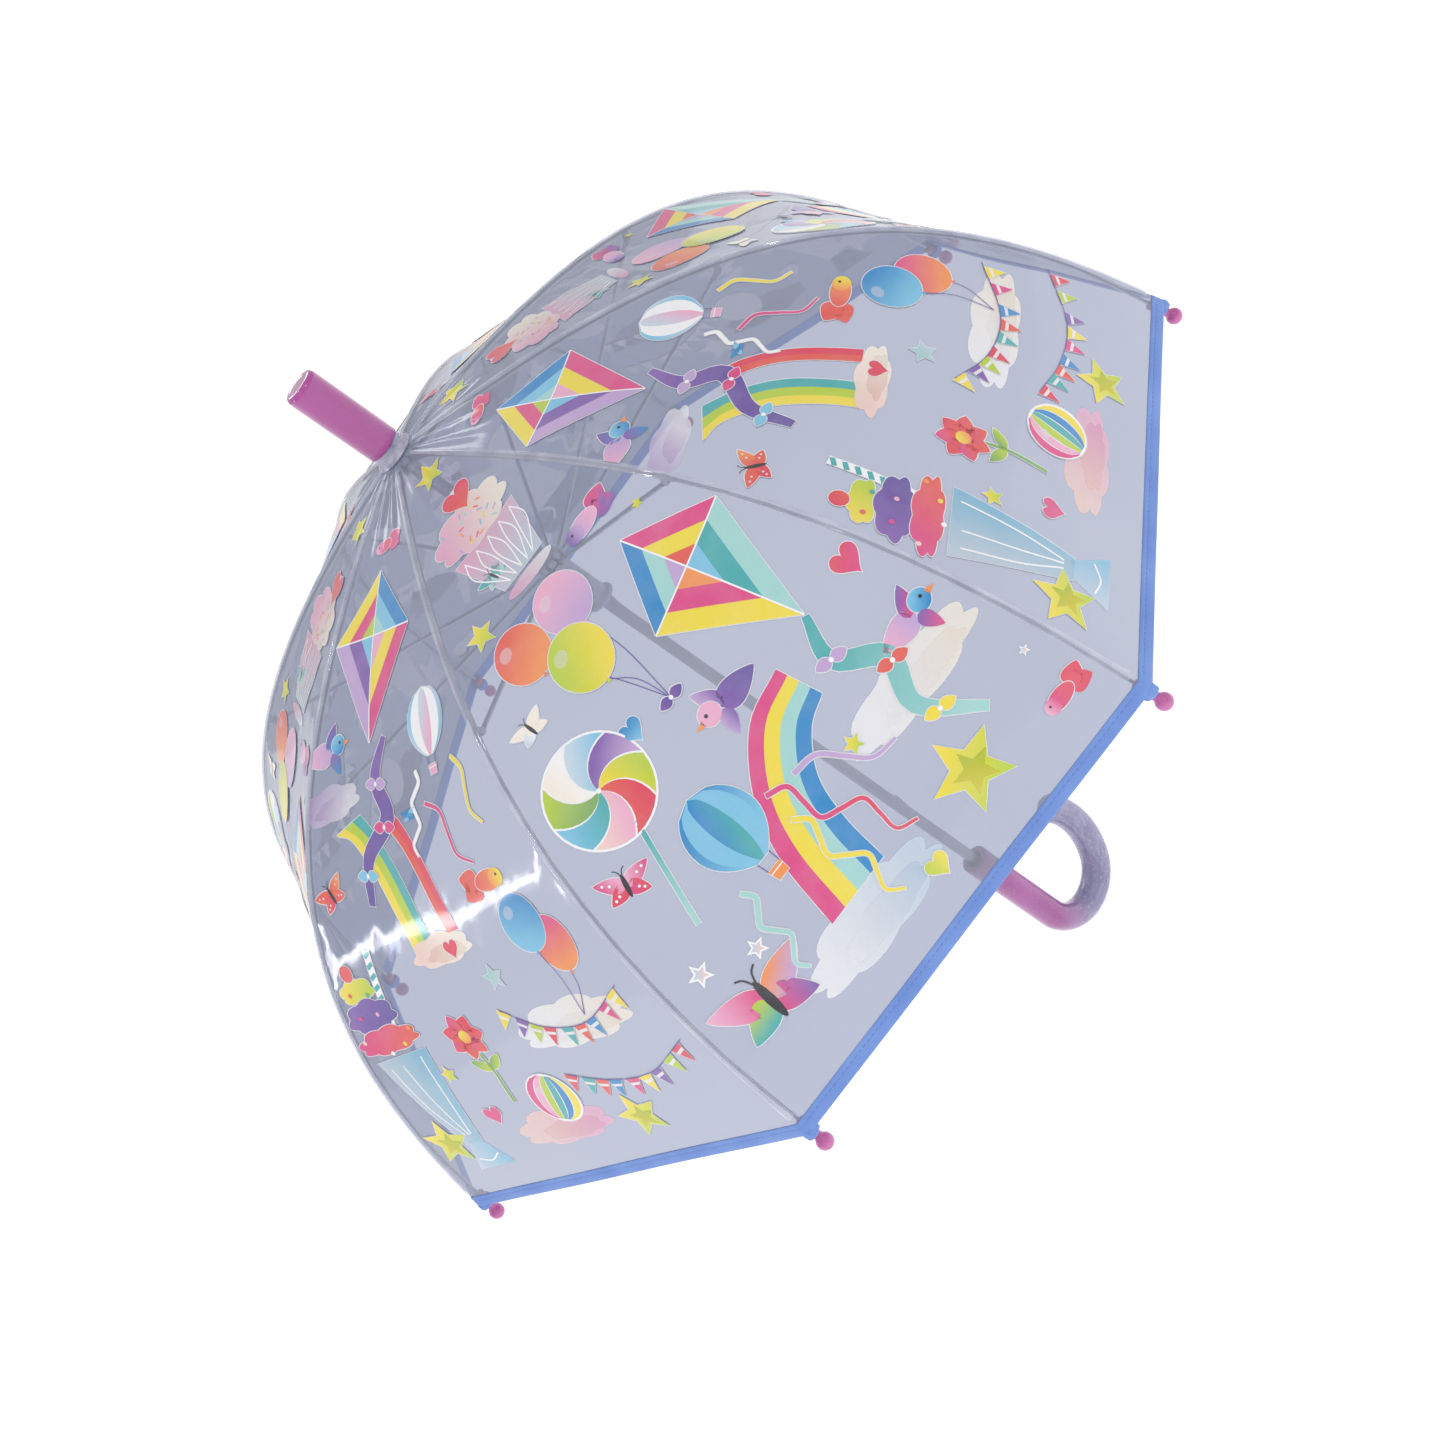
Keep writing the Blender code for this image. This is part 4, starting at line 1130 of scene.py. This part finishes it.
def design_b():
    p = Print()
    draw_cloud(p, -55, 195, 56, 24, ("lilac", "white", 40), 0.6)
    draw_cloud(p, -10, 408, 76, 32, ("peach", "rose", 20), 0.75, 8)
    draw_cloud(p, 54, 350, 88, 34, ("white", "cream", 20), 0.8, 8)
    p.level = 3
    p.bands([(-55, 211), (-42, 218), (-31, 240), (-26, 268), (-25, 292)],
            [(-30, 206), (-20, 222), (-12, 244), (-9, 270), (-8, 292)], ("yellow", "lime", "teal"))
    p.bands([(-14, 214), (-4, 230), (2, 250), (6, 282)], [(-8, 208), (2, 222), (10, 246), (15, 282)],
            ("coral", "red"))
    p.level = 4
    draw_cloud(p, -5, 290, 52, 22, ("peach", "cream", 10), 0.92)
    p.level = 6
    p.add(heart(3, 290, 5.5), "red", halo=True)
    draw_kite(p, -6, 124, 78, (("blue", "sky", "aqua"), ("pink", "yellow", "rose"),
                               ("lilac", "purple", "sky"), ("yellow", "pink", "lime")),
              [(0, 172), (-12, 192), (-8, 214), (-32, 230), (-42, 254)], ("purple", "violet", 60),
              ((0.30, "lilac"), (0.58, "pink"), (0.86, "sky")), 8)
    draw_fish(p, 4, 62, 22, -1, ("pink", "red", 0), ("rose", "pink", 0), "pink")
    draw_bird(p, -44, 166, 27, 1, ("rose", "lilac", 0), ("sky", "blue", 60), ("purple", "blue", 60))
    draw_butterfly(p, 9, 218, 12, ("blue", "sky", "sky", "blue"), 0, None, "blue")
    draw_air_balloon(p, 38, 176, 32, (("sky", "pale", 60), "white", ("pale", "rose", 20), "white",
                                      ("pale", "sky", 60)), "rose")
    draw_streamers(p, (((24, 216), (48, 254), 1, 5, "pink"), ((54, 200), (66, 238), 1, 4, "yellow"),
                       ((22, 198), (8, 240), 2, 3, "white")), 2.2)
    draw_fish(p, 52, 265, 32, 1, ("coral", "orange", 0), ("orange", "yellow", 0), "coral")
    draw_butterfly(p, -72, 240, 27, ("coral", ("coral", "orange", 0), "red", "coral"), -20, "peach")
    p.level = 6
    draw_balloon(p, 77, 306, 27, 31, ("pink", "orange", 80), (66, 346))
    p.level = 8
    draw_balloon(p, 63, 291, 29, 32, ("blue", "sky", 110), (66, 346))
    p.level = 5
    draw_sundae(p)
    draw_flower(p, -28, 338, 15, (-30, 384), (("red", "coral", 90), ("pink", "coral", 60)))
    p.level = 6
    draw_ball(p, 0, 388, 17, ("pink", "rose", "lime", "teal", "blue", "yellow"))
    p.add(heart(-53, 388, 6.5), "pink", halo=True)
    draw_star(p, -60, 356, 6)
    draw_star(p, -105, 398, 18, 10)
    draw_star(p, 47, 412, 16, -8)
    p.add(star(22, 312, 8), ("aqua", "pale", 30), 0.85, halo=True)
    draw_bunting(p, [(10, 330), (34, 346), (64, 350), (98, 336)], PENNANTS, 9)
    draw_bunting(p, [(22, 376), (48, 386), (78, 388), (112, 374)], PENNANTS[3:] + PENNANTS[:3], 9)
    return p


def ink_colour(ink, points, at):
    """Linear colours at some points of a shape: one ink, or a blend of two along a direction."""
    if isinstance(ink, str):
        return np.tile(srgb(*INKS[ink]), (len(at), 1))
    low, high, degrees = ink
    way = np.array((math.cos(math.radians(degrees)), math.sin(math.radians(degrees))))
    reach = points @ way
    share = (at @ way - reach.min()) / max(reach.max() - reach.min(), 1e-6)
    share = np.clip(share * 1.3 - 0.15, 0, 1)[:, None]
    return np.array(srgb(*INKS[low])) * (1 - share) + np.array(srgb(*INKS[high])) * share


def fine_outline(points, step=4.0):
    """An outline with long edges divided, so that it can follow the curved gore."""
    out = []
    for a, b in zip(points, np.roll(points, -1, axis=0)):
        count = max(1, math.ceil(np.linalg.norm(b - a) / step))
        out += [a + (b - a) * i / count for i in range(count)]
    return np.array(out)


def cut(bm, x, y, nx, ny, keep_inner=False):
    geom = bm.verts[:] + bm.edges[:] + bm.faces[:]
    bmesh.ops.bisect_plane(bm, geom=geom, dist=1e-7, plane_co=(x, y, 0), plane_no=(nx, ny, 0),
                           clear_outer=keep_inner)


PRINT_EDGE = 0.975            # the print stops just short of the ribs
PRINT_LIFT = 0.00010
LEVEL_LIFT = 0.00007
BACKING_LIFT = -0.00012


def flat_print(shapes):
    """Cuts the shapes along the film's own grid; returns points (q, v), faces and each face's shape."""
    bm = bmesh.new()
    tag = bm.faces.layers.int.new("shape")
    for index, (points, *_) in enumerate(shapes):
        outline = fine_outline(points)
        v = outline[:, 1] / 1000
        q = outline[:, 0] / 1000 / half_width(v)
        face = bm.faces.new([bm.verts.new((a, b, 0)) for a, b in zip(q, v)])
        face[tag] = index
    bm.normal_update()
    bmesh.ops.triangulate(bm, faces=bm.faces[:], ngon_method="EAR_CLIP")
    for x in COLUMNS[1:-1] + (PRINT_EDGE,):
        cut(bm, x, 0, 1, 0, x == PRINT_EDGE)
        cut(bm, -x, 0, -1, 0, x == PRINT_EDGE)
    cut(bm, 0, 0, 1, 0)
    rows = rows_between(*SECTIONS["upper"])[1:] + rows_between(*SECTIONS["lower"])[1:-1]
    for y in rows:
        cut(bm, 0, y, 0, 1)
    cut(bm, 0, HEM_V - 0.0006, 0, 1, True)
    cut(bm, 0, FILM_START_V + 0.012, 0, -1, True)
    bmesh.ops.dissolve_degenerate(bm, dist=1e-6, edges=bm.edges[:])
    bm.normal_update()
    for face in bm.faces:
        if face.normal.z > 0:
            face.normal_flip()
    bm.verts.index_update()
    points = np.array([(p.co.x, p.co.y) for p in bm.verts])
    faces = [[p.index for p in face.verts] for face in bm.faces]
    tags = [face[tag] for face in bm.faces]
    bm.free()
    return points, faces, tags


def coloured(design):
    """A design cut along the film's grid, with each point's colour, strength and lift."""
    points, faces, tags = flat_print(design.shapes)
    flat = np.stack((points[:, 0] * half_width(points[:, 1]) * 1000, points[:, 1] * 1000), axis=1)
    sizes = np.array([len(face) for face in faces])
    corners = np.concatenate(faces)
    owner = np.zeros(len(points), int)
    owner[corners] = np.repeat(tags, sizes)
    inks = np.ones((len(points), 4), np.float32)
    lifts = np.zeros(len(points))
    for index, (outline, ink, alpha, level, _) in enumerate(design.shapes):
        mine = np.nonzero(owner == index)[0]
        if len(mine):
            inks[mine, :3] = ink_colour(ink, outline, flat[mine])
            inks[mine, 3] = alpha
            lifts[mine] = PRINT_LIFT + LEVEL_LIFT * level
    starts = np.cumsum(sizes) - sizes
    centres = np.stack([np.add.reduceat(points[corners, i], starts) / sizes for i in range(2)], axis=1)
    backs = np.array([shape[4] for shape in design.shapes])[tags]
    return {"points": points, "faces": faces, "centres": centres, "backs": backs, "inks": inks,
            "lifts": lifts}


DESIGNS = {}


def design_of(gore):
    name = "a" if gore % 2 == 0 else "b"
    if name not in DESIGNS:
        DESIGNS[name] = coloured(design_a() if name == "a" else design_b())
    return DESIGNS[name]


def make_ink(name, k, section, material, back=False):
    """One wedge's share of the print, from the two gores that the wedge reaches into."""
    low, high = SECTIONS[section]
    before = gore_before(k)
    points, normals, inks, faces, total = [], [], [], [], 0
    for gore, sign in ((before, 1), (k, -1)):
        d = design_of(gore)
        centres = d["centres"]
        wanted = (centres[:, 0] * sign > 0) & (centres[:, 1] > low) & (centres[:, 1] < high)
        if back:
            wanted &= d["backs"]
        chosen = [d["faces"][i] for i in np.nonzero(wanted)[0]]
        used, place = np.unique(np.concatenate(chosen), return_inverse=True)
        ends = np.cumsum([len(face) for face in chosen])
        place = (place + total).tolist()
        for face, end in zip(chosen, ends):
            ring = place[end - len(face):end]
            faces.append(ring[::-1] if back else ring)
        q, v = d["points"][used].T
        lift = BACKING_LIFT if back else d["lifts"][used]
        spots, upright = on_film(gore, q, v, np.broadcast_to(lift, q.shape))
        points.append(spots)
        normals.append(-upright if back else upright)
        inks.append(d["inks"][used])
        total += len(used)
    obj = make_object(name, np.concatenate(points), faces, [material])
    set_normals(obj, np.concatenate(normals))
    layer = obj.data.color_attributes.new("ink", "FLOAT_COLOR", "POINT")
    layer.data.foreach_set("color", np.concatenate(inks).ravel())
    carry_soft(obj, k, section)
    return obj


def make_print(k, section):
    front = make_ink(f"print_{section}_{k}", k, section, INK)
    rear = make_ink(f"backing_{section}_{k}", k, section, BACKING, True)
    return [front, rear]


def make_canopy():
    """Eight wedges of film in two lengths each, with their channels, hem tape and print."""
    for k in range(1, RIB_COUNT + 1):
        tape = make_tape(k)
        for section, (start, end) in SECTIONS.items():
            film = make_film(k, section)
            with_film = [make_channel(k, section)] + make_print(k, section)
            if section == "upper":
                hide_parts(f"canopy_panel_{k}")
            else:
                with_film.append(tape)
            carry_soft(film, k, section)


# ---- ferrule, collar, tips and handle -----------------------------------------------------------
def make_ferrule():
    base, end = FERRULE_BASE_Z, FERRULE_END_Z
    seat = base + 0.0355
    r = FERRULE_RADIUS
    inside = [(0.0, seat), (SHAFT_BORE, seat), (SHAFT_BORE, base)]
    outside = [(SHAFT_BORE, base), (r - 0.0002, base), (r - 0.0001, base + 0.0012), (r, base + 0.004),
               (r, end - 0.006), (r - 0.0001, end - 0.0026), (r - 0.0012, end - 0.0005), (r - 0.0030, end),
               (r - 0.0052, end - 0.00025), (0.0, end - 0.0003)]
    obj = turned("ferrule_body", inside + rounded(outside, 0.0009, 4)[1:], ORCHID, 72)
    sharpen(obj, 55)
    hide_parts("ferrule")
    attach(obj, "shaft")


def make_collar():
    low = RIM_Z + 0.2630
    top = FERRULE_BASE_Z - 0.0002
    bore = SHAFT_BORE
    ring = [(bore, low), (0.0096, low - 0.0006), (0.0131, low - 0.0016), (0.0134, low - 0.0008),
            (0.0112, low + 0.0010), (0.0104, low + 0.0022), (0.0106, low + 0.0030), (0.0102, low + 0.0038),
            (0.0105, low + 0.0046), (0.0102, top), (bore, top)]
    obj = turned("collar_ring", rounded(ring, 0.0006, 3), COLLAR, 72)
    sharpen(obj, 60)
    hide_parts("canopy_washer")
    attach(obj, "shaft")


def rib_line(u):
    """Centre line (radius, height) of a rib, as the metal ribs lie."""
    radius, height = ridge_points(np.asarray(u, float))
    before, after = ridge_points(max(u - 0.002, 0.0)), ridge_points(min(u + 0.002, 1.0))
    run = Vector((after[0] - before[0], after[1] - before[1])).normalized()
    late = max(0.0, (u - 0.86) / 0.14)
    ease = late * late * (3 - 2 * late)
    depth = RIB_DEPTH + (TIP_DEPTH - RIB_DEPTH) * ease
    return Vector((float(radius), float(height))) + Vector((run.y, -run.x)) * depth


BALL_RADIUS = 0.00475
BALL_AT = 0.0105
SLEEVE_RADIUS = 0.0033
WIRE_BORE = 0.0013


def tip_place(k):
    """Where rib k's tip cover starts and the way that it points."""
    end, before = rib_line(1.0), rib_line(0.985)
    run = (end - before).normalized()
    out = radial(rib_azimuth(k))
    return out * end.x + Vector((0, 0, end.y)), (out * run.x + Vector((0, 0, run.y))).normalized()


def make_tape_loop(k):
    """The end of the binding tape, wrapped round the tip cover and drawn tight in creases."""
    origin, axis = tip_place(k)
    outline = rounded([(0.0035, -0.0024), (0.0043, -0.0021), (0.0046, -0.0006), (0.0045, 0.0016),
                       (0.0042, 0.0026), (0.0035, 0.0029)], 0.0006, 3) + [(0.0034, 0.0026), (0.0034, -0.0021)]
    obj = turned(f"tape_loop_{k}", outline, TAPE, 48, origin, axis)
    side = tangential(rib_azimuth(k))
    up = axis.cross(side).normalized()
    if up.x * math.cos(rib_azimuth(k)) + up.y * math.sin(rib_azimuth(k)) < 0:
        up = -up
    for vert in obj.data.vertices:
        off = vert.co - origin
        along, a, b = off.dot(axis), off.dot(side), off.dot(up)
        angle, reach = math.atan2(b, a), math.hypot(a, b)
        if reach > 0.0036:
            reach += 0.00016 * math.sin(6 * angle + 900 * along)
            reach += 0.00010 * math.sin(11 * angle - 1500 * along)
        rise = 1.22 if b > 0 else 1.0
        vert.co = (origin + axis * (along + 0.0007 * math.sin(angle))
                   + side * (reach * math.cos(angle)) + up * (reach * math.sin(angle) * rise))
    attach(obj, f"rib_lower_{k}")


def make_tip(k):
    """Pink end cover: sleeve over the wire, two ridges, waist and ball."""
    origin, axis = tip_place(k)
    s = SLEEVE_RADIUS
    outline = [(0.0, 0.0038), (WIRE_BORE, 0.0038), (WIRE_BORE, -0.0070)]
    sleeve = [(WIRE_BORE, -0.0070), (0.0028, -0.0070), (s, -0.0062), (s, -0.0030), (s - 0.0003, -0.0026),
              (s, -0.0022), (s, 0.0014), (0.0025, 0.0026), (0.0023, 0.0046), (0.0027, 0.0060)]
    outline += rounded(sleeve, 0.0005, 3)[1:]
    for i in range(15):
        angle = math.radians(-50 + 140 * i / 15)
        outline.append((BALL_RADIUS * math.cos(angle), BALL_AT + BALL_RADIUS * math.sin(angle)))
    outline.append((0.0, BALL_AT + BALL_RADIUS))
    obj = turned(f"tip_{k}", outline, TIP, 40, origin, axis)
    sharpen(obj, 60)
    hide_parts(f"tip_cover_{k}")
    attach(obj, f"rib_lower_{k}")


FADE_START = 0.090            # along the handle from its mouth: orchid up to here
FADE_END = 0.128              # clear glitter plastic from here


def handle_stations():
    """(centre, direction, distance) along the handle's centre line."""
    grip_steps, degrees_per_step = 23, 4
    top, down = Vector((0, 0, HANDLE_TOP_Z)), Vector((0, 0, -1))
    grip = HANDLE_TOP_Z - CROOK_START_Z
    stations = []
    for i in range(grip_steps):
        along = grip * i / grip_steps
        stations.append((top + down * along, down, along))
    spot, heading, travelled = Vector((0, 0, CROOK_START_Z)), math.pi, grip
    stations.append((spot.copy(), down, travelled))
    for radius, sweep in (TIGHT_BEND, WIDE_BEND):
        steps = max(4, round(math.degrees(sweep) / degrees_per_step))
        for _ in range(steps):
            turn = sweep / steps
            middle = heading - turn / 2
            chord = 2 * radius * math.sin(turn / 2)
            spot = spot + Vector((math.sin(middle), 0, math.cos(middle))) * chord
            heading -= turn
            travelled += chord
            stations.append((spot.copy(), Vector((math.sin(heading), 0, math.cos(heading))), travelled))
    return stations


def make_handle():
    stations = handle_stations()
    sides, cap_rings, cap_height = 56, 8, 0.0092
    rings = []
    top, r = HANDLE_TOP_Z, HANDLE_RADIUS
    down = Vector((0, 0, -1))
    bore = ((0.0, 0.0575), (SHAFT_BORE, 0.0575), (SHAFT_BORE, 0.0068), (0.0057, 0.0052), (0.0060, 0.0010),
            (0.0065, 0.0002), (0.0076, 0.0), (r - 0.0011, 0.0001), (r - 0.0003, 0.0008))
    for radius, along in bore:
        rings.append((Vector((0, 0, top - along)), down, radius, along))
    rings += [(centre, way, r, along) for centre, way, along in stations if along > 0.001]
    end, way, last = stations[-1]
    for i in range(1, cap_rings + 1):
        angle = math.pi / 2 * i / cap_rings
        reach = cap_height * math.sin(angle)
        rings.append((end + way * reach, way, r * math.cos(angle) if i < cap_rings else 0.0, last + reach))
    points, fades, loops = [], [], []
    for centre, way, radius, along in rings:
        fade = min(1.0, max(0.0, (along - FADE_START) / (FADE_END - FADE_START)))
        loops.append([len(points)] if radius == 0 else list(range(len(points), len(points) + sides)))
        across = Vector((0, 1, 0))
        up = across.cross(way).normalized()
        for i in range(len(loops[-1])):
            t = 2 * math.pi * i / sides
            points.append(centre + (across * math.cos(t) + up * math.sin(t)) * radius)
            fades.append(fade)
    faces = ring_faces(zip(loops, loops[1:]), sides)
    obj = make_object("crook_handle", points, [face[::-1] for face in faces], [HANDLE])
    layer = obj.data.attributes.new("fade", "FLOAT", "POINT")
    layer.data.foreach_set("value", fades)
    fix_normals(obj)
    sharpen(obj, 50)
    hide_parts("handle")
    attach(obj, "shaft")


# ---- metalwork that keeps its CAD shape -----------------------------------------------------------
CAD_LOOKS = {"shaft_tube": SHAFT_STEEL, "crown_wire": RIB_STEEL, "runner_wire": RIB_STEEL,
             "top_catch": SHAFT_STEEL, "bottom_catch": SHAFT_STEEL, "rib_": RIB_STEEL,
             "stretcher": RIB_STEEL, "crown_notch": NYLON, "runner": NYLON}


def dress_cad_nodes():
    for name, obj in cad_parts.items():
        for start, look in CAD_LOOKS.items():
            if name.startswith(start):
                for socket in obj.material_slots:
                    socket.material = look
                break


# ---- studio ---------------------------------------------------------------------------------------
def make_floor():
    size, z = 70.0, CAD_BOX[0][2] - 0.0005
    corners = [(-size, -size, z), (size, -size, z), (size, size, z), (-size, size, z)]
    obj = make_object("studio_ground", corners, [(0, 1, 2, 3)], [floor_material()], smooth=False)


def aim(obj, forward, up):
    right = forward.cross(up).normalized()
    up = right.cross(forward).normalized()
    turn = Matrix((right, up, -forward)).transposed()
    obj.matrix_world = Matrix.Translation(obj.location) @ turn.to_4x4()


# name, place, size, power in W, and whether gloss shows it
LIGHTS = (("key", (-1.5, -0.9, 1.9), (0.9, 0.9), 9.0, False),
          ("fill", (1.3, -1.7, 1.3), (1.2, 0.6), 5.0, False),
          ("back", (0.6, 1.7, 1.5), (1.0, 0.5), 5.0, True),
          ("strip_left", (-1.3, 0.7, 1.0), (0.03, 0.45), 0.9, True),
          ("spark_front", (0.3, -1.5, 1.9), (0.10, 0.10), 2.0, True),
          ("spark_top", (-0.4, 0.1, 2.0), (0.10, 0.10), 2.0, True))
LIT_POINT = Vector((0, 0, 0.38))
SOFT_WORLD, PLAIN_WORLD = 0.55, 1.05     # strength of the light all round, and of what the eye sees


def area_light(name, location, size, power, glints):
    data = bpy.data.lights.new(name, "AREA")
    data.shape = "RECTANGLE"
    data.size, data.size_y = size
    data.energy = power
    obj = bpy.data.objects.new(name, data)
    obj.location = Vector(location)
    obj.visible_glossy = glints
    bpy.context.scene.collection.objects.link(obj)
    aim(obj, (LIT_POINT - obj.location).normalized(), Vector((0, 0, 1)))


def make_world():
    """Soft light from all round; the eye sees plain white behind the object."""
    world = bpy.data.worlds.new("studio")
    bpy.context.scene.world = world
    world.use_nodes = True
    tree = world.node_tree
    soft = tree.nodes["Background"]
    soft.inputs["Color"].default_value = (0.985, 0.985, 1.0, 1.0)
    soft.inputs["Strength"].default_value = SOFT_WORLD
    plain = tree.nodes.new("ShaderNodeBackground")
    plain.inputs["Color"].default_value = (1.0, 1.0, 1.0, 1.0)
    plain.inputs["Strength"].default_value = PLAIN_WORLD
    eye = tree.nodes.new("ShaderNodeLightPath").outputs["Is Camera Ray"]
    either = tree.nodes.new("ShaderNodeMixShader")
    tree.links.new(eye, either.inputs[0])
    tree.links.new(soft.outputs[0], either.inputs[1])
    tree.links.new(plain.outputs[0], either.inputs[2])
    tree.links.new(either.outputs[0], tree.nodes["World Output"].inputs["Surface"])


def make_studio():
    make_floor()
    make_world()
    for light in LIGHTS:
        area_light(*light)
    bpy.context.scene.view_settings.view_transform = "Standard"


CAMERA_AT = (-0.3082, -0.9023, 0.8361)
CAMERA_FORWARD = (0.26093, 0.82239, -0.50556)
CAMERA_UP = (0.87315, 0.02231, 0.48695)
CAMERA_LENS = 43.02


def make_camera():
    data = bpy.data.cameras.new("camera")
    data.lens = CAMERA_LENS
    data.sensor_width = 36.0
    data.clip_start = 0.02
    data.clip_end = 250.0
    obj = bpy.data.objects.new("camera", data)
    obj.location = Vector(CAMERA_AT)
    bpy.context.scene.collection.objects.link(obj)
    aim(obj, Vector(CAMERA_FORWARD), Vector(CAMERA_UP))
    bpy.context.scene.camera = obj


# ---- all of it --------------------------------------------------------------------------------------
def main():
    make_camera()
    make_studio()
    dress_cad_nodes()
    make_canopy()
    make_ferrule()
    make_collar()
    for k in range(1, RIB_COUNT + 1):
        make_tip(k)
        make_tape_loop(k)
    make_handle()


main()
bpy.context.scene.cycles.transparent_max_bounces = 32
